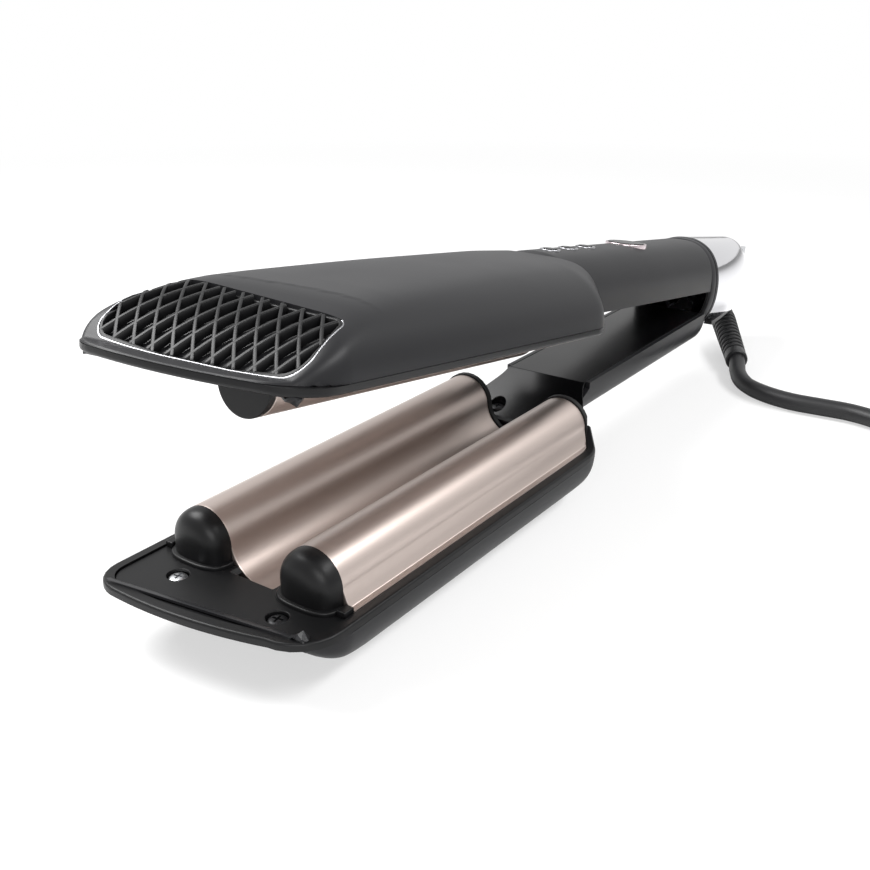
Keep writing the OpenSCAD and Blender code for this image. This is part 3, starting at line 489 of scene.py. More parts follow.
def surface(x, y, flatten):
    """Height of a cover over its rim at points of the plan."""
    section = dome(np.abs(y / side_line(x)))
    nose = dome(1 - np.clip(nose_distance(x, y) / HEAD_W, 0, 1))
    lean_x = (PLATE_FRONT + (x - PLATE_FRONT) * math.cos(LEAN_ANGLE)
              + y * math.sin(LEAN_ANGLE))
    return flatten(x, lean_x, np.minimum(section, nose))


def head_shell(name, flatten, rear, place, window):
    """Closed shell of a head: a rounded section that follows the plan, under limiting heights."""
    columns, rows, least = 128, 170, 0.05
    wall = bpy.context.scene.waver_shells.cover_wall / MM
    turn, swing, _ = half_turn(columns)
    front = nose_line(swing * HEAD_W)
    share = np.linspace(0, 1, rows)[:, None] ** 1.5
    x = front + share * (rear(turn) - front)
    half = side_line(x)
    y = swing * half
    z = np.maximum(surface(x, y, flatten), COVER_EDGE + least)
    outer = np.stack([x, y, z], -1).reshape(-1, 3)
    inner = np.stack([x + wall * (1 - share), y * (1 - wall / half),
                      np.maximum(z - wall, COVER_EDGE)], -1).reshape(-1, 3)
    n = len(outer)
    sheet = grid(columns, rows)
    border = [*range(columns), *range(2 * columns - 1, n, columns),
              *range(n - 2, n - columns - 1, -1), *range(n - 2 * columns, 0, -columns)]
    faces = sheet + [tuple(n + i for i in reversed(f)) for f in sheet]
    faces += [(b, a, a + n, b + n) for a, b in zip(border, border[1:] + border[:1])]
    obj = mesh_object(name, np.concatenate([outer, inner]), faces, place)
    return windowed(outward(obj), window, place @ SLANT)


# Rounded rise of the vented front, against the distance along the arms
RISE = np.polyfit((-75, -73.2, -71.5, -69.5, -66, -62, -58, -54, -50, -46),
                  (0.6, 2.6, 4.3, 6.0, 8.7, 10.9, 12.6, 14.0, 15.2, 16.2), 4)


def rise(lean_x):
    """Height of the front: a low apron, then the rounded rise."""
    apron = 2.15 + 0.1 * (lean_x + 79)
    return -soft_min(-apron, -np.polyval(RISE, np.clip(lean_x, -75.5, -46)), 0.5)


def blend_reach(lean_x):
    """How widely the slope, top and sides blend: widest round the vented front."""
    soft = bpy.context.scene.waver_shells.soft_edge / MM
    return soft * np.interp(lean_x, (-56, -36), (1.5, 1))


def upper_heights(x, lean_x, domed):
    """Limiting heights of the upper cover: the front's rise, then a nearly level top."""
    front_end, front_top, climb, length = -46, 16, 2.4, 51
    top = front_top + (lean_x - front_end) * climb / length
    slope = np.where(lean_x > front_end, top + 1, rise(lean_x))
    flat = soft_min(slope, soft_min(top, np.full_like(x, CROWN), 0.6), 1.0)
    return soft_min(domed, flat, blend_reach(lean_x))


def lower_heights(x, lean_x, domed):
    """Limiting heights of the lower cover: the front's rise, the flat underside and the arch."""
    front_end, front_top, climb = -54, 14.0, 0.45
    slope = np.where(lean_x > front_end, front_top + (lean_x - front_end) * climb, rise(lean_x))
    flat = soft_min(slope, np.full_like(x, RIM_Z), 0.8)
    head = soft_min(domed, flat, blend_reach(lean_x))
    return np.maximum(soft_min(head, (ARCH_X - x) * 4, 3.0), 0)


def vent_outline(inset):
    """Outline of the vent in plan, with X square to the front edge and rounded corners."""
    # X, Y and radius of each corner
    corners = [(-72.2 + inset, 28.8 - inset, 4), (-50.5 - inset, 27 - inset, 2.5),
               (-57 - inset, inset - 24.3, 2.5), (-72.4 + inset, inset - 24.3, 5),
               (-74 + inset, -9, 20), (-73.8 + inset, 9, 20)]
    out = []
    for i, (bx, by, r) in enumerate(corners):
        b = Vector((bx, by))
        u = (Vector(corners[i - 1][:2]) - b).normalized()
        v = (Vector(corners[(i + 1) % 6][:2]) - b).normalized()
        half = u.angle(v) / 2
        centre = b + (u + v).normalized() * r / math.sin(half)
        start = b + u * r / math.tan(half) - centre
        end = b + v * r / math.tan(half) - centre
        a0 = math.atan2(start.y, start.x)
        turn = (math.atan2(end.y, end.x) - a0 + math.pi) % (2 * math.pi) - math.pi
        out += [tuple(centre + r * Vector((math.cos(a), math.sin(a))))
                for a in (a0 + turn * k / 8 for k in range(9))]
    return out


def draped(obj, flatten, place):
    """Lays a flat drawing over a cover: turns its plan square to the arms, adds its height."""
    n = len(obj.data.vertices)
    co = np.empty(n * 3)
    obj.data.vertices.foreach_get("co", co)
    co = co.reshape(-1, 3) / MM
    cos, sin = math.cos(LEAN_ANGLE), math.sin(LEAN_ANGLE)
    x = PLATE_FRONT + (co[:, 0] - PLATE_FRONT) * cos - co[:, 1] * sin
    y = (co[:, 0] - PLATE_FRONT) * sin + co[:, 1] * cos
    z = surface(x, y, flatten) + co[:, 2]
    turn = np.array(place)
    out = (np.stack([x, y, z, np.ones(n)], -1) @ turn.T)[:, :3] * MM
    obj.data.vertices.foreach_set("co", out.ravel())
    obj.data.update()
    return outward(obj, 0.0005)


def inside(point, outline):
    """Whether a point lies inside an outline."""
    x, y = point
    hit = False
    for i, (x1, y1) in enumerate(outline):
        x2, y2 = outline[i - 1]
        if (y1 > y) != (y2 > y) and x < (x2 - x1) * (y - y1) / (y2 - y1) + x1:
            hit = not hit
    return hit


def node_group(name, inputs):
    """Geometry node group with named inputs, started with its group nodes."""
    tree = bpy.data.node_groups.new(name, "GeometryNodeTree")
    tree.interface.new_socket("Geometry", in_out="INPUT", socket_type="NodeSocketGeometry")
    for label, kind, value in inputs:
        socket = tree.interface.new_socket(label, in_out="INPUT", socket_type=kind)
        if value is not None:
            socket.default_value = value
    tree.interface.new_socket("Geometry", in_out="OUTPUT", socket_type="NodeSocketGeometry")
    return tree, add(tree, "NodeGroupInput").outputs


def end_group(tree, geometry, material):
    """Ends a tree in Realize Instances and Set Material."""
    real = add(tree, "GeometryNodeRealizeInstances", {"Geometry": geometry}).outputs["Geometry"]
    last = add(tree, "GeometryNodeSetMaterial", {"Geometry": real, "Material": material})
    add(tree, "NodeGroupOutput", {"Geometry": last.outputs["Geometry"]})
    return tree


def grown(obj, tree, **values):
    """Runs a node tree on an object with its inputs set, and leaves a plain mesh."""
    mod = obj.modifiers.new("grow", "NODES")
    mod.node_group = tree
    for item in tree.interface.items_tree:
        if item.in_out == "INPUT" and item.name in values:
            mod[item.identifier] = values[item.name]
    return apply_modifiers(obj)


def soft_bar(tree, width, height, corner):
    """Profile of a bar with rounded corners."""
    bar = add(tree, "GeometryNodeCurvePrimitiveQuadrilateral", {"Width": width, "Height": height})
    soft = add(tree, "GeometryNodeFilletCurve",
               {"Curve": bar.outputs["Curve"], "Radius": corner, "Count": 2}, mode="POLY")
    return soft.outputs["Curve"]


def rib_tree():
    """Sweeps a soft-cornered bar along each curve."""
    if "waver_ribs" in bpy.data.node_groups:
        return bpy.data.node_groups["waver_ribs"]
    tree, inp = node_group("waver_ribs", [
        ("Width", "NodeSocketFloat", 0.8 * MM), ("Height", "NodeSocketFloat", 2 * MM),
        ("Corner", "NodeSocketFloat", 0.25 * MM), ("Finish", "NodeSocketMaterial", None)])
    level = add(tree, "GeometryNodeSetCurveNormal", {"Curve": inp["Geometry"]}, mode="Z_UP")
    swept = add(tree, "GeometryNodeCurveToMesh", {
        "Curve": level.outputs["Curve"], "Fill Caps": True,
        "Profile Curve": soft_bar(tree, inp["Width"], inp["Height"], inp["Corner"])})
    return end_group(tree, swept.outputs["Mesh"], inp["Finish"])


def curves_object(name, runs, cyclic=False):
    """Poly curves in millimetres as one curve object, in metres."""
    data = bpy.data.curves.new(name, "CURVE")
    data.dimensions = "3D"
    for run in runs:
        spline = data.splines.new("POLY")
        spline.points.add(len(run) - 1)
        spline.use_cyclic_u = cyclic
        for point, at in zip(spline.points, run):
            point.co = (at[0] * MM, at[1] * MM, (at[2] if len(at) > 2 else 0) * MM, 1)
    obj = bpy.data.objects.new(name, data)
    bpy.context.scene.collection.objects.link(obj)
    return obj


def joined(obj, *others):
    """Adds other meshes to one and removes them."""
    bm = bmesh.new()
    bm.from_mesh(obj.data)
    for other in others:
        bm.from_mesh(other.data)
        bpy.data.objects.remove(other)
    bm.to_mesh(obj.data)
    bm.free()
    return obj


def vent_ribs(name, flatten, place):
    """Crossing ribs of a vent, clipped to its outline, with a border rib."""
    v = bpy.context.scene.waver_vents
    border = vent_outline(0.3)
    far, near = 30.0, -26.0
    cell = (far - near) / v.columns
    xs = np.linspace(-76, -48, 240)
    climb = np.concatenate([[0], np.cumsum(np.hypot(np.diff(xs), np.diff(rise(xs))))])
    run = (np.interp(-54, xs, climb) - np.interp(-73.5, xs, climb)) / v.rows
    ribs = []
    for side in (-1, 1):
        for i in range(-v.columns, 2 * v.columns):
            line = []
            for x, s in zip(xs[::3], climb[::3]):
                y = near + i * cell + side * cell * s / run
                if inside((x, y), border):
                    line.append((x, y, 0.1 - 0.5 * v.rib_height / MM))
                    continue
                if len(line) > 2:
                    ribs.append(line)
                line = []
            if len(line) > 2:
                ribs.append(line)
    bars = {"Corner": 0.2 * MM, "Finish": finish_of("satin_moulded_abs")}
    obj = grown(curves_object(name, ribs), rib_tree(), Width=v.rib_width, Height=v.rib_height,
                **bars)
    edge = curves_object(name + "_edge", [[(x, y, -0.95) for x, y in border]], cyclic=True)
    edge = grown(edge, rib_tree(), Width=0.8 * MM, Height=2.0 * MM, **bars)
    return draped(joined(obj, edge), flatten, place)


def vent_back(name, flatten, place):
    """Smooth wall behind the ribs of a vent."""
    columns, rows, below = 60, 40, -2.5
    points = [(x, y, below) for x in np.linspace(-74.2, -50, rows)
              for y in np.linspace(-25, 29, columns)]
    obj = draped(mesh_object(name, points, grid(columns, rows)), flatten, place)
    return walled(obj, 0.6 * MM)


# ---- Wave plates ----

def arc(cy, cz, r, a0, a1, n=40):
    """Arc across the arms between two angles in degrees."""
    turn = [math.radians(a0 + (a1 - a0) * i / n) for i in range(n + 1)]
    return [(cy + r * math.cos(a), cz + r * math.sin(a)) for a in turn]


BARREL_Y, BARREL_R, BARREL_Z, VALLEY_Z = 16.9, 8.0, 4.1, 5.2
VALLEY_R = math.hypot(BARREL_Y, VALLEY_Z - BARREL_Z) - BARREL_R
WAVE_A = math.degrees(math.atan2(VALLEY_Z - BARREL_Z, BARREL_Y))
UPPER_R = VALLEY_R - 0.9
LIP_Y = BARREL_Y + BARREL_R + 3.2


def lower_wave(t):
    """Working face of the lower plate, moved into the metal by t."""
    foot = BARREL_Y + BARREL_R + 1.6
    return ([(-LIP_Y, -t), (-foot + t, -t)]
            + arc(-BARREL_Y, BARREL_Z, BARREL_R - t, 180, WAVE_A)
            + arc(0, VALLEY_Z, VALLEY_R + t, 180 + WAVE_A, 360 - WAVE_A)
            + arc(BARREL_Y, BARREL_Z, BARREL_R - t, 180 - WAVE_A, 0)
            + [(foot - t, -t), (LIP_Y, -t)])


def upper_wave(t):
    """Working face of the upper plate over the upper rim, moved into the metal by t."""
    r = BARREL_R + 0.9 + t
    low = BARREL_Z - RIM_GAP
    a = math.degrees(math.asin((-1 + t - low) / r))
    return ([(-LIP_Y, -1 + t)] + arc(-BARREL_Y, low, r, 180 - a, WAVE_A)
            + arc(0, -4.3, UPPER_R - t, 180 + WAVE_A, 360 - WAVE_A)
            + arc(BARREL_Y, low, r, 180 - WAVE_A, a) + [(LIP_Y, -1 + t)])


def wave_plate(name, wave, place):
    """Plate between two wave faces, with its long outer corners cut to the rim."""
    metal = 2
    outline = wave(0) + wave(metal)[::-1]
    xs = ([PLATE_FRONT, PLATE_FRONT + 0.3] + list(np.linspace(-50, 46, 25))
          + [49, 52, PLATE_REAR - 0.3, PLATE_REAR])
    points = []
    for x in xs:
        limit = side_line(np.array([x]))[0] - 2.9
        points += [(x, max(-limit, min(limit, y)), z) for y, z in outline]
    n = len(outline)
    faces = grid(n, len(xs), wrap=True)
    for row in (0, len(xs) - 1):
        faces += [(row * n + i, row * n + i + 1, row * n + n - 2 - i, row * n + n - 1 - i)
                  for i in range(n // 2 - 1)]
    obj = outward(mesh_object(name, points, faces, place), 0.0005)
    mod = obj.modifiers.new("soft", "BEVEL")
    mod.width, mod.segments, mod.limit_method = 0.25 * MM, 2, "ANGLE"
    mod.angle_limit = math.radians(50)
    return apply_modifiers(obj)


def barrel_cap(name, y0):
    """Blunt cap at the front of a barrel: round on top, straight down to a lip on the panel."""
    length, flare, n, rows, foot_z = 5.8, 2 / 2.8, 26, 15, -1.0
    points = []
    for k in range(rows):
        a = math.pi / 2 * k / (rows - 1)
        x = PLATE_FRONT + 0.1 - length * math.sin(a) ** flare
        r = BARREL_R * max(0.0, math.cos(a)) ** flare
        points += [(x, y0 + r * math.cos(t), BARREL_Z + r * math.sin(t))
                   for t in np.linspace(0, math.pi, n - 2)]
        points += [(x, y0 - r, foot_z), (x, y0 + r, foot_z)]
    faces = grid(n, rows, wrap=True) + [tuple(range(n))]
    body = outward(mesh_object(name, points, faces, LOWER), 0.01)
    lip = []
    for k in range(33):
        a = math.pi * (0.5 + k / 32)
        c, d = math.cos(a), math.sin(a)
        lip.append((PLATE_FRONT - (length + 0.9) * abs(c) ** 0.7,
                    y0 + (BARREL_R + 0.9) * math.copysign(abs(d) ** 0.7, d)))
    foot = prism(name + "_lip", lip, foot_z, 0.5, LOWER)
    mod = foot.modifiers.new("soft", "BEVEL")
    mod.width, mod.segments, mod.limit_method = 0.4 * MM, 3, "ANGLE"
    return joined(body, apply_modifiers(foot))


# ---- Operators ----

def camera_at_photo(scene):
    """Camera solved from the photograph: its right, down and forward directions and its place."""
    right, down, forward = Matrix(((0.5796211, -0.81488478, -0.00147533),
                                   (-0.31979241, -0.22579983, -0.9201887),
                                   (0.74951464, 0.53383259, -0.39147232)))
    turn = Matrix((right, -down, -forward)).transposed()
    data = bpy.data.cameras.new("camera")
    data.sensor_width, data.lens, data.clip_end = 36.0, 44.57, 20
    camera = bpy.data.objects.new("camera", data)
    at = Vector((-207.098, -157.680, 143.554)) * MM
    camera.matrix_world = Matrix.Translation(at) @ turn.to_4x4()
    scene.collection.objects.link(camera)
    scene.camera = camera


def white_table():
    """Matte white table that keeps the shadow near the object and glows to the camera far off."""
    far = 4e4
    floor = mesh_object("floor", [(-far, -far, -0.2), (far, -far, -0.2), (far, far, -0.2),
                                  (-far, far, -0.2)], [(0, 1, 2, 3)])
    mat = bpy.data.materials.new("matte_white_table")
    mat.use_nodes = True
    tree = mat.node_tree
    tree.nodes.clear()
    ray = add(tree, "ShaderNodeLightPath").outputs
    place = add(tree, "ShaderNodeTexCoord").outputs["Object"]
    # A fine tooth, 2.5 mm across
    fine = add(tree, "ShaderNodeTexNoise", {"Vector": place, "Scale": 400.0})
    bump = add(tree, "ShaderNodeBump", {"Height": fine.outputs["Fac"], "Distance": 0.00002})
    body = add(tree, "ShaderNodeBsdfPrincipled", {
        "Base Color": linear("#f6f6f6"), "Roughness": 0.85, "Specular IOR Level": 0.1,
        "Normal": bump.outputs["Normal"]})
    glow = add(tree, "ShaderNodeEmission", {"Color": (1, 1, 1, 1), "Strength": 1.0})
    # The camera alone sees the glow: a share of it within 0.2 m, all of it beyond 0.8 m
    off = add(tree, "ShaderNodeVectorMath", {0: place}, operation="LENGTH")
    fade = add(tree, "ShaderNodeMapRange", {
        "Value": off.outputs["Value"], "From Min": 0.2, "From Max": 0.8,
        "To Min": 0.55, "To Max": 1.0})
    share = add(tree, "ShaderNodeMath", {0: ray["Is Camera Ray"], 1: fade.outputs["Result"]},
                operation="MULTIPLY")
    both = add(tree, "ShaderNodeMixShader",
               {0: share.outputs[0], 1: body.outputs[0], 2: glow.outputs[0]})
    add(tree, "ShaderNodeOutputMaterial", {"Surface": both.outputs[0]})
    floor.data.materials.append(mat)


def white_room(scene):
    """World that is white to the camera and in mirrors, and a plain fill light elsewhere."""
    world = bpy.data.worlds.new("studio")
    scene.world = world
    world.use_nodes = True
    tree = world.node_tree
    tree.nodes.clear()
    ray = add(tree, "ShaderNodeLightPath").outputs
    seen = add(tree, "ShaderNodeMath",
               {0: ray["Is Camera Ray"], 1: ray["Is Transmission Ray"]}, operation="MAXIMUM")
    shown = add(tree, "ShaderNodeMath", {0: seen.outputs[0], 1: ray["Is Glossy Ray"]},
                operation="MAXIMUM")
    power = add(tree, "ShaderNodeMapRange",
                {"Value": shown.outputs[0], "To Min": 0.3, "To Max": 1.0})
    back = add(tree, "ShaderNodeBackground",
               {"Color": (1, 1, 1, 1), "Strength": power.outputs["Result"]})
    add(tree, "ShaderNodeOutputWorld", {"Surface": back.outputs[0]})


class WAVER_OT_stage(bpy.types.Operator):
    """White table, soft studio light and the camera at the photograph's angle"""
    bl_idname = "waver.stage"
    bl_label = "Stage"

    def execute(self, context):
        scene = context.scene
        camera_at_photo(scene)
        scene.view_settings.view_transform = "Standard"
        white_table()
        white_room(scene)
        # Key over the far side, a long soft strip along the arms, and a low fill by the camera
        for name, at, aim, size, watts in (
                ("key", (-150, 420, 620), (40, 0, 30), (420, 420), 9.0),
                ("strip", (140, -420, 520), (60, 0, 50), (620, 120), 4.0),
                ("fill", (-420, -260, 220), (0, 0, 30), (300, 200), 1.2)):
            lamp = bpy.data.lights.new(name, "AREA")
            lamp.shape, lamp.energy = "RECTANGLE", watts
            lamp.size, lamp.size_y = size[0] * MM, size[1] * MM
            obj = bpy.data.objects.new(name, lamp)
            at, aim = Vector(at) * MM, Vector(aim) * MM
            turn = (aim - at).to_track_quat("-Z", "Y").to_matrix().to_4x4()
            obj.matrix_world = Matrix.Translation(at) @ turn
            scene.collection.objects.link(obj)
        return {"FINISHED"}


class WAVER_OT_covers(bpy.types.Operator):
    """Soft-touch covers of both heads, cut out for the vents"""
    bl_idname = "waver.covers"
    bl_label = "Head covers"

    def execute(self, context):
        arch = 7  # the upper cover's middle ends this far before its sides
        shell = head_shell("upper_shell", upper_heights,
                           lambda turn: ARCH_X - arch * np.abs(np.sin(turn)) ** 5, UPPER,
                           vent_outline(-0.15))
        done(shell, "upper_arm", "soft_touch_abs", "upper_cover", angle=40)
        shell = head_shell("lower_shell", lower_heights, lambda turn: ARCH_X + 0 * turn,
                           LOWER_FLIP, vent_outline(-0.05))
        done(shell, "lower_arm", "soft_touch_abs", "lower_cover", angle=40)
        return {"FINISHED"}


class WAVER_OT_rims(bpy.types.Operator):
    """Rim bands and the flat inner panels"""
    bl_idname = "waver.rims"
    bl_label = "Rims and inner panels"

    def execute(self, context):
        width = context.scene.waver_shells.rim_round / MM
        back = UPPER.inverted()

        def outer_edge(at):
            return abs(at.z) < 0.05 and (abs(at.y) > side_line(np.array([at.x]))[0] - 1.2
                                         or at.x < nose_line(np.array([at.y]))[0] + 1.4)

        box = [(-120, -60), (120, -60), (120, 60), (-120, 60)]
        clear = 0.06  # under the cover's edge
        dressed("upper_rim", "upper_rim_band", "upper_arm", "satin_moulded_abs", width, 40,
                lambda point: outer_edge(back @ (point / MM)),
                prism("edge_tool", box, COVER_EDGE - clear, 30, UPPER))
        dressed("lower_rim", "lower_rim_band", "lower_arm", "satin_moulded_abs", width * 0.8, 40,
                lambda point: outer_edge(point / MM - Vector((0, 0, RIM_Z))),
                prism("edge_tool", box, COVER_EDGE - clear, 30, LOWER_FLIP))
        dressed("front_panel", "front_panel_plate", "lower_arm", "satin_moulded_abs", 0.3)
        dressed("grip_panel", "grip_inner_panel", "lower_arm", "gloss_moulded_abs", 0.35, 20)
        return {"FINISHED"}


class WAVER_OT_vents(bpy.types.Operator):
    """Diamond vents of both heads with the bright line round the upper one"""
    bl_idname = "waver.vents"
    bl_label = "Vents"

    def execute(self, context):
        ribs = vent_ribs("upper_vent_ribs", upper_heights, UPPER)
        done(ribs, "upper_arm", "satin_moulded_abs", "upper_grille", angle=50)
        ribs = vent_ribs("lower_vent_ribs", lower_heights, LOWER_FLIP)
        done(ribs, "lower_arm", "satin_moulded_abs", "lower_vent", angle=50)
        wall = vent_back("upper_vent_back", upper_heights, UPPER)
        done(wall, "upper_arm", "vent_well_abs", "grille_backing")
        wall = vent_back("lower_vent_back", lower_heights, LOWER_FLIP)
        done(wall, "lower_arm", "vent_well_abs")
        # The bright line is left out along the top edge
        ring = vent_outline(-0.1)
        ring = ring[20:] + ring[:16]
        fine = [tuple(Vector(a).lerp(Vector(b), k / 6)) for a, b in zip(ring, ring[1:])
                for k in range(6)] + ring[-1:]
        line = grown(curves_object("vent_line", [[(x, y, -0.3) for x, y in fine]]), rib_tree(),
                     Width=context.scene.waver_vents.trim_width, Height=0.8 * MM,
                     Corner=0.12 * MM, Finish=finish_of("bright_trim_plating"))
        draped(line, upper_heights, UPPER)
        done(line, "upper_arm", "bright_trim_plating", "grille_trim", angle=50)
        return {"FINISHED"}


class WAVER_OT_plates(bpy.types.Operator):
    """Bronze wave plates with their end caps, clips and rear gasket"""
    bl_idname = "waver.plates"
    bl_label = "Wave plates"

    def execute(self, context):
        plate = wave_plate("upper_wave_plate", upper_wave, UPPER)
        done(plate, "upper_arm", "bronze_ceramic_coat", "upper_plate")
        plate = wave_plate("lower_wave_plate", lower_wave, LOWER)
        done(plate, "lower_arm", "bronze_ceramic_coat", "lower_plate")
        dressed("upper_end_cap", "upper_barrel_cap", "upper_arm", "satin_moulded_abs", 0.5)
        caps = joined(barrel_cap("barrel_cap_0", -BARREL_Y), barrel_cap("barrel_cap_1", BARREL_Y))
        done(caps, "lower_arm", "satin_moulded_abs", "lower_end_caps", angle=45)
        dressed("plate_clips", "plate_lip_clips", "lower_arm", "satin_moulded_abs", 0.3)
        dressed("plate_gasket", "rear_profile_gasket", "lower_arm", "nitrile_rubber", 0.3)
        return {"FINISHED"}


class WAVER_OT_handle(bpy.types.Operator):
    """Both halves of the handle and the collar"""
    bl_idname = "waver.handle"
    bl_label = "Handle and collar"

    def execute(self, context):
        columns = 96
        _, swing, lift = half_turn(columns)
        # Upper half, tucked a little lower where it starts inside the head
        start, rows, tuck, tuck_end = 58, 60, 0.7, 61
        points = [(x, GRIP_W * s,
                   PARTING + (CROWN - PARTING - (tuck if x < tuck_end else 0)) * r)
                  for x in np.linspace(start, GRIP_END, rows) for s, r in zip(swing, lift)]
        top = outward(mesh_object("handle_top", points, grid(columns, rows), UPPER))
        if sum(p.normal.z * p.area for p in top.data.polygons) < 0:
            top.data.flip_normals()
        walled(top, context.scene.waver_shells.cover_wall)
        for x, r in ((71, 2.5), (82.5, 2.5), (94, 2.5), (124, 6.3)):
            cut(top, prism("hole_tool", circle(x, r), 12, 22, UPPER))
        done(top, "upper_arm", "soft_touch_abs", "grip_top")
        # Lower half, cut away under the ramp of the inner panel
        rows, depth, edge = 50, 13.2, 10.15
        points = [(x, GRIP_W * s, edge - depth * r)
                  for x in np.linspace(ARCH_X + 0.15, 166.8, rows) for s, r in zip(swing, lift)]
        low = outward(mesh_object("handle_bottom", points, grid(columns, rows), LOWER))
        if sum(p.normal.z * p.area for p in low.data.polygons) > 0:
            low.data.flip_normals()
        walled(low, 1.4 * MM)
        side = [(60, -1.95), (76, 8.2), (76, 40), (60, 40)]
        upright = LOWER @ Matrix.Rotation(math.pi / 2, 4, "X")
        cut(low, prism("ramp_tool", side, -60, 60, upright))
        done(low, "lower_arm", "soft_touch_abs", "grip_cover")
        # Collar with a fine groove before the cap
        collar = ring_loft("collar_ring", [
            (170.9, 15.1, 18.5, 16.0), (171.1, 15.2, 18.6, 16.2), (174.7, 15.3, 18.75, 16.7),
            (174.8, 14.9, 18.35, 16.3), (175.4, 14.9, 18.35, 16.3), (175.5, 15.35, 18.8, 16.8),
            (176.8, 15.45, 18.9, 16.9), (176.95, 15.2, 18.7, 16.7)], 0.86)
        walled(collar, 1.2 * MM)
        done(collar, "upper_arm", "painted_collar_abs", "collar", angle=30)
        return {"FINISHED"}


class WAVER_OT_buttons(bpy.types.Operator):
    """Three small buttons and the large one, with their plated rings"""
    bl_idname = "waver.buttons"
    bl_label = "Buttons"

    def execute(self, context):
        for i in (1, 2, 3):
            node = "button_%d" % i
            dressed(node, "small_" + node, node, "gloss_moulded_abs", 0.3)
        dressed("power_button", "large_button", "power_button", "gloss_moulded_abs", 0.5)
        dressed("button_rings", "small_button_rings", "upper_arm", "bright_trim_plating", 0.18)
        dressed("power_ring", "large_button_ring", "upper_arm", "rose_gold_plating", 0.2)
        return {"FINISHED"}


def ring_loft(name, stations, power):
    """Loft of closed sections over the upper rim: X, half width, top, depth under the parting."""
    points, n = [], 120
    for x, half, top, drop in stations:
        for a in np.linspace(0, 2 * math.pi, n, endpoint=False):
            c, d = math.cos(a), math.sin(a)
            z = PARTING + (top - PARTING if d >= 0 else -drop) * abs(d) ** power
            points.append((x, half * math.copysign(abs(c) ** power, c), z))
    return outward(mesh_object(name, points, grid(n, len(stations), wrap=True), UPPER))


class WAVER_OT_rear_cap(bpy.types.Operator):
    """Polished tapering cap, its closing plate and the swivel"""
    bl_idname = "waver.rear_cap"
    bl_label = "Rear cap"

    def execute(self, context):
        # The cap narrows over its last 62 mm, and its top and underside round off after 38 mm
        narrow, level, fall, depth, rows = 62, 38, 17, 17.0, 60
        stations = []
        for k in range(rows + 1):
            x = CAP_X + 0.05 + 59.85 * math.sin(k / rows * 1.45)
            along = max(0.0, (x - (CAP_END - narrow)) / narrow)
            share = max(0.0, (x - CAP_X - level) / (CAP_END - CAP_X - level))
            rounded = math.sqrt(max(0.0, 1 - share * share))
            top = 19 - min(x - CAP_X, level) / level - fall * (1 - rounded)
            stations.append((x, 15.45 * math.sqrt(max(0.0, 1 - along * along)), top,
                             depth * math.sqrt(max(0.0, 1 - share ** 6))))
        cap = ring_loft("plated_cap", stations, 0.9)
        # The small opening left at the rear end is closed
        bm = bmesh.new()
        bm.from_mesh(cap.data)
        bmesh.ops.holes_fill(bm, edges=[e for e in bm.edges if e.is_boundary
                                        and all(v.co.x > 215 * MM for v in e.verts)])
        bmesh.ops.recalc_face_normals(bm, faces=bm.faces)
        bm.to_mesh(cap.data)
        bm.free()
        middle = Vector((200, 0, 35)) * MM
        if sum((p.center - middle).dot(p.normal) * p.area for p in cap.data.polygons) < 0:
            cap.data.flip_normals()
        trimmed(cap, Vector((0, 0, CAP_EDGE)) * MM, Vector((0, 0, -1)))
        walled(cap, 1.6 * MM)
        done(cap, "upper_arm", "polished_plating", "rear_cap", angle=60)
        # Closing plate inside the cap's lower edge, with the swivel's neck
        half, end = 13.7, 233.5
        plan = [(175 + 60.2 * math.cos(a), half * math.sin(a))
                for a in np.linspace(-1.45, 1.45, 60)]
        plan = [(min(x, end), max(-1, min(1, y / half)) * half * 0.9) for x, y in plan]
        plate = prism("cap_floor", plan, CAP_EDGE + 0.25, CAP_EDGE + 1.6, None)
        neck = prism("neck", circle(BALL.x, 5.4), 15.5, CAP_EDGE + 0.6, None)
        done(joined(plate, neck), "upper_arm", "satin_moulded_abs", "cap_plate", angle=40)
        dressed("swivel_socket", "swivel_neck", "upper_arm", "satin_moulded_abs", 0.2)
        return {"FINISHED"}


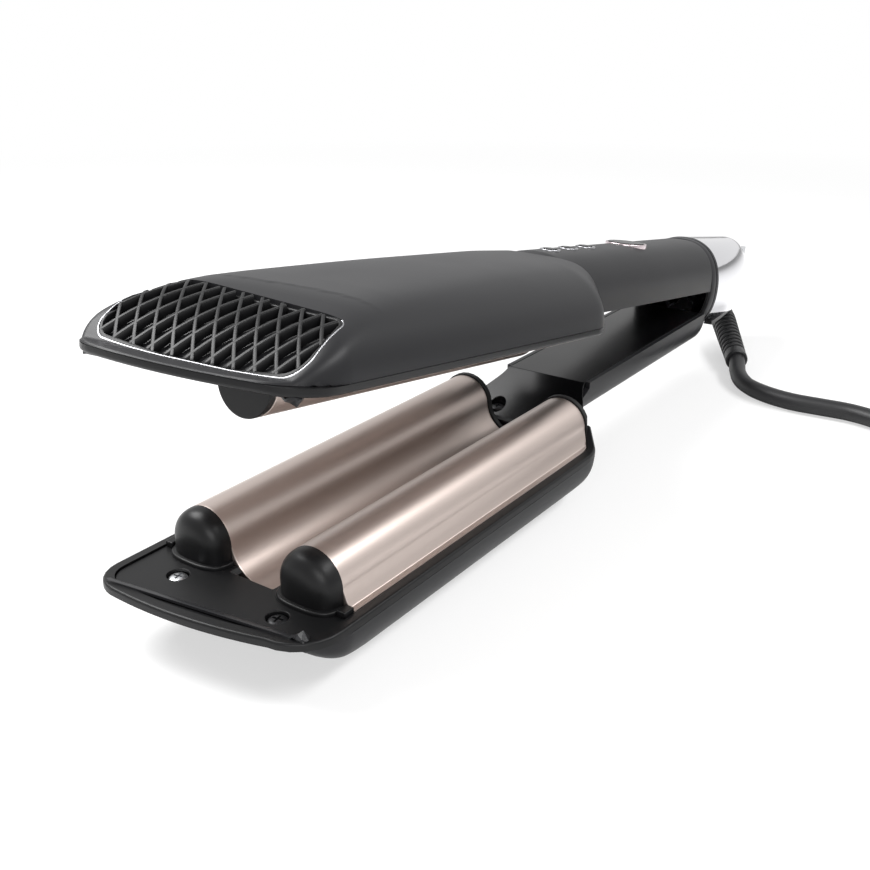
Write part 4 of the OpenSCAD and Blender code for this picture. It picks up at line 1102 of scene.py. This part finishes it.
def relief_tree(pitch):
    """Ribs in a row, each a ring with two webs to the next and turned a quarter from it."""
    tree, inp = node_group("waver_relief", [
        ("Rows", "NodeSocketInt", 10), ("Pitch", "NodeSocketFloat", pitch * MM),
        ("Radius", "NodeSocketFloat", 4.4 * MM), ("Finish", "NodeSocketMaterial", None)])
    step = add(tree, "ShaderNodeCombineXYZ", {"Z": inp["Pitch"]})
    line = add(tree, "GeometryNodeMeshLine", {"Count": inp["Rows"], "Offset": step.outputs[0]})
    ring = add(tree, "GeometryNodeCurvePrimitiveCircle",
               {"Resolution": 40, "Radius": inp["Radius"]})
    rib = add(tree, "GeometryNodeCurveToMesh", {
        "Curve": ring.outputs["Curve"],
        "Profile Curve": soft_bar(tree, 1.7 * MM, 1.7 * MM, 0.35 * MM)})
    web = add(tree, "GeometryNodeMeshCube", {"Size": (1.6 * MM, 2.6 * MM, 3.3 * MM)})
    parts = [rib.outputs["Mesh"]]
    for side in (1, -1):
        moved = add(tree, "GeometryNodeTransform", {
            "Geometry": web.outputs["Mesh"], "Translation": (side * 3.55 * MM, 0, 1.2 * MM)})
        parts.append(moved.outputs["Geometry"])
    both = add(tree, "GeometryNodeJoinGeometry")
    for part in parts:
        tree.links.new(part, both.inputs[0])
    index = add(tree, "GeometryNodeInputIndex").outputs[0]
    odd = add(tree, "ShaderNodeMath", {0: index, 1: 2.0}, operation="MODULO")
    angle = add(tree, "ShaderNodeMath", {0: odd.outputs[0], 1: math.pi / 2},
                operation="MULTIPLY")
    spin = add(tree, "ShaderNodeCombineXYZ", {"Z": angle.outputs[0]})
    # Each rib is 1.6 percent smaller than the one before
    shrink = add(tree, "ShaderNodeMath", {0: index, 1: -0.016, 2: 1.0}, operation="MULTIPLY_ADD")
    scale = add(tree, "ShaderNodeCombineXYZ",
                {"X": shrink.outputs[0], "Y": shrink.outputs[0], "Z": 1.0})
    placed = add(tree, "GeometryNodeInstanceOnPoints", {
        "Points": line.outputs["Mesh"], "Instance": both.outputs[0],
        "Rotation": spin.outputs[0], "Scale": scale.outputs[0]})
    return end_group(tree, placed.outputs["Instances"], inp["Finish"])


class WAVER_OT_relief(bpy.types.Operator):
    """Strain relief with its alternating slots, on the swivel's ball"""
    bl_idname = "waver.relief"
    bl_label = "Strain relief"

    def execute(self, context):
        rows = context.scene.waver_cord.relief_rows
        aim = (EXIT - BALL).normalized()
        length = (EXIT - BALL).length
        place = Matrix.Translation(BALL) @ aim.to_track_quat("Z", "X").to_matrix().to_4x4()
        start, r0, r1 = 4.0, 5.0, 4.2
        pitch = (length - start - 9) / rows
        # Core with a collar at the ball and a sleeve at the cord
        core = lathe("relief_core", [
            (0, start), (r0 - 0.4, start), (r0, start + 0.4), (r0, start + 2.8),
            (r0 - 0.3, start + 3.2), (3.5, start + 3.3), (3.3, length - 5.6),
            (r1 - 0.25, length - 5.4), (r1, length - 5.0), (r1, length - 0.5),
            (r1 - 0.4, length), (0, length)], 48, place)
        ribs = grown(mesh_object("relief_ribs", [(0, 0, 0)], []), relief_tree(pitch), Rows=rows,
                     Pitch=pitch * MM, Radius=4.15 * MM, Finish=finish_of("soft_pvc"))
        shift = Matrix.Translation((0, 0, start + 5.1))
        ribs.data.transform(Matrix.Scale(MM, 4) @ place @ shift @ Matrix.Scale(1 / MM, 4))
        outward(ribs)
        done(ribs, "cord_swivel", "soft_pvc")
        done(core, "cord_swivel", "soft_pvc", "strain_relief")
        repaint("swivel_ball", "gloss_moulded_abs")
        return {"FINISHED"}


class WAVER_OT_screws(bpy.types.Operator):
    """Cross-head screws of the inner panels"""
    bl_idname = "waver.screws"
    bl_label = "Screws"

    def execute(self, context):
        head = lathe("screw_head", [(0, 0), (1.2, -0.05), (1.9, -0.22), (2.2, -0.5),
                                    (2.25, -1.3), (0, -1.35)], 40)
        arm = [(-1.35, -0.28), (1.35, -0.28), (1.35, 0.28), (-1.35, 0.28)]
        for a in (0, 90):
            turn = Matrix.Rotation(math.radians(a + 12), 4, "Z")
            cut(head, prism("cross_tool", arm, -0.8, 0.6, turn))
        tree, inp = node_group("waver_screws", [("Head", "NodeSocketObject", None),
                                                ("Finish", "NodeSocketMaterial", None)])
        info = add(tree, "GeometryNodeObjectInfo", {"Object": inp["Head"]})
        placed = add(tree, "GeometryNodeInstanceOnPoints", {
            "Points": inp["Geometry"], "Instance": info.outputs["Geometry"]})
        end_group(tree, placed.outputs["Instances"], inp["Finish"])
        groups = (
            ("bright_screw", [(-65.9, 15.5, 16.8)], "zinc_plated_steel", ()),
            ("dark_screws", [(-65.9, -15.5, 16.8), (62.5, 10, 19.0), (62.5, -10, 19.0)],
             "black_oxide_steel", ("lower_screws",)))
        for name, spots, finish, nodes in groups:
            obj = grown(mesh_object(name, spots, []), tree, Head=head, Finish=finish_of(finish))
            done(outward(obj), "lower_arm", finish, *nodes)
        bpy.data.objects.remove(head)
        repaint("upper_screws", "zinc_plated_steel")
        return {"FINISHED"}


def smooth_path(points, steps):
    """Catmull-Rom points through the route, as in the CAD source."""
    out = []
    p = [Vector(q) for q in points]
    for i in range(len(p) - 1):
        a, b, c, d = p[max(i - 1, 0)], p[i], p[i + 1], p[min(i + 2, len(p) - 1)]
        for k in range(steps):
            t = k / steps
            out.append(0.5 * (2 * b + (c - a) * t + (2 * a - 5 * b + 4 * c - d) * t * t
                              + (3 * b - a - 3 * c + d) * t ** 3))
    return out + [p[-1]]


def around(r, a, z):
    """Point about the coil's middle, at a radius, an angle and a height."""
    return COIL_CENTRE[0] + r * math.cos(a), COIL_CENTRE[1] + r * math.sin(a), z


def cord_route():
    """Centreline of the cord: route, a coil that winds in, up and out again, and tail."""
    c = bpy.context.scene.waver_cord
    inner, pitch = c.coil_inner / MM, c.diameter / MM + 0.55
    first = c.diameter / 2 / MM + 1
    layer, climb, steps = 3.5, 0.5, 48
    outer = inner + layer * pitch
    coil = []
    for k in range(round(COIL_TURNS * steps) + 1):
        t = k / steps
        if t < layer:
            r = outer - pitch * t
        elif t < layer + climb:
            r = inner - math.sin(2 * math.pi * (t - layer))
        else:
            r = inner + pitch * (t - layer - climb)
        z = first + pitch * min(max((t - layer) / climb, 0), 1)
        coil.append(around(r, math.pi + 2 * math.pi * t, z))
    aim = (EXIT - BALL).normalized()
    lead = [tuple(EXIT + 1.2 * aim), (175, -27.5, 3.9), (167, -34, 3.3), (162, -43, 3.3),
            (160, -53, 3.3), (160.5, -63, 3.4), (161, -73.5, 3.5), (158.5, -83.5, 3.6),
            (153.3, -92.5, 3.8), (147, -102.5, 4), (142.7, -114, 4.1), coil[0]]
    tail = [coil[-1]]
    tail += [around(r, math.radians(angle), z) for angle, r, z in (
        (285, 49.6, 10.7), (300, 53.2, 9.6), (315, 57.8, 7.9), (330, 62.5, 6.6), (345, 66, 6.6))]
    tail += [(257.5, -134, 7.6), (257.5, -124, 8), (257.5, -110, 8)]
    return ([EXIT] + smooth_path(lead, 4) + [Vector(p) for p in coil[1:]]
            + smooth_path(tail, 2)[1:])


class WAVER_OT_cord(bpy.types.Operator):
    """Mains cord with its stored coil, tie and plug"""
    bl_idname = "waver.cord"
    bl_label = "Cord and plug"

    def execute(self, context):
        diameter = context.scene.waver_cord.diameter
        route = cord_route()
        cord = curves_object("mains_cord", [route])
        cord.data.bevel_depth = diameter / 2
        cord.data.bevel_resolution = 3
        cord.data.use_fill_caps = True
        cord.data.materials.append(finish_of("soft_pvc"))
        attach(cord, "upper_arm")
        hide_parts("cord", "cord_coil", "cord_tail")
        plug = dressed("plug_body", "plug_moulding", "upper_arm", "soft_pvc", 1.2)
        pins = dressed("plug_pins", "plug_contact_pins", "upper_arm", "drawn_brass", 0.5)
        tie = dressed("coil_tie", "coil_strap", "upper_arm", "nitrile_rubber", 0.3)
        return {"FINISHED"}


class WAVER_OT_inner_parts(bpy.types.Operator):
    """Finishes of the hinge and of the heating parts inside"""
    bl_idname = "waver.inner_parts"
    bl_label = "Inner parts"

    def execute(self, context):
        for finish, nodes in {
            "zinc_plated_steel": ("hinge_bracket", "hinge_pin", "hinge_spring", "hinge_arm"),
            "steatite_ceramic": ("upper_heater", "lower_heaters", "upper_carrier", "lower_carrier"),
            "drawn_brass": ("upper_thermal_fuse", "lower_thermostat"),
            "lacquered_glass_board": ("control_board",),
            "red_silicone_sleeve": ("wiring",),
            "satin_moulded_abs": ("grip_liner",),
            "nitrile_rubber": ("collar_gasket",),
        }.items():
            for node in nodes:
                repaint(node, finish)
        return {"FINISHED"}


class WAVER_PT_panel(bpy.types.Panel):
    """Pieces and sizes of the hair waver"""
    bl_idname = "WAVER_PT_panel"
    bl_label = "Hair waver"
    bl_space_type = "VIEW_3D"
    bl_region_type = "UI"
    bl_category = "Waver"

    def draw(self, context):
        for name, kind in GROUPS:
            box = self.layout.box()
            for field in kind.__annotations__:
                box.prop(getattr(context.scene, name), field)
        for piece in PIECES:
            self.layout.operator(piece.bl_idname)


PIECES = (WAVER_OT_stage, WAVER_OT_cord, WAVER_OT_covers, WAVER_OT_rims, WAVER_OT_vents,
          WAVER_OT_plates, WAVER_OT_handle, WAVER_OT_buttons, WAVER_OT_rear_cap, WAVER_OT_relief,
          WAVER_OT_screws, WAVER_OT_inner_parts)
GROUPS = (("waver_shells", WaverShells), ("waver_vents", WaverVents),
          ("waver_cord", WaverCord), ("waver_finish", WaverFinish))


def register():
    for name, group in GROUPS:
        bpy.utils.register_class(group)
        setattr(bpy.types.Scene, name, bpy.props.PointerProperty(type=group))
    for cls in (*PIECES, WAVER_PT_panel):
        bpy.utils.register_class(cls)


def unregister():
    for cls in reversed((*PIECES, WAVER_PT_panel)):
        bpy.utils.unregister_class(cls)
    for name, group in reversed(GROUPS):
        delattr(bpy.types.Scene, name)
        bpy.utils.unregister_class(group)


def main():
    """Builds every piece in order."""
    register()
    for piece in PIECES:
        area, name = piece.bl_idname.split(".")
        getattr(getattr(bpy.ops, area), name)()


if __name__ == "__main__":
    main()
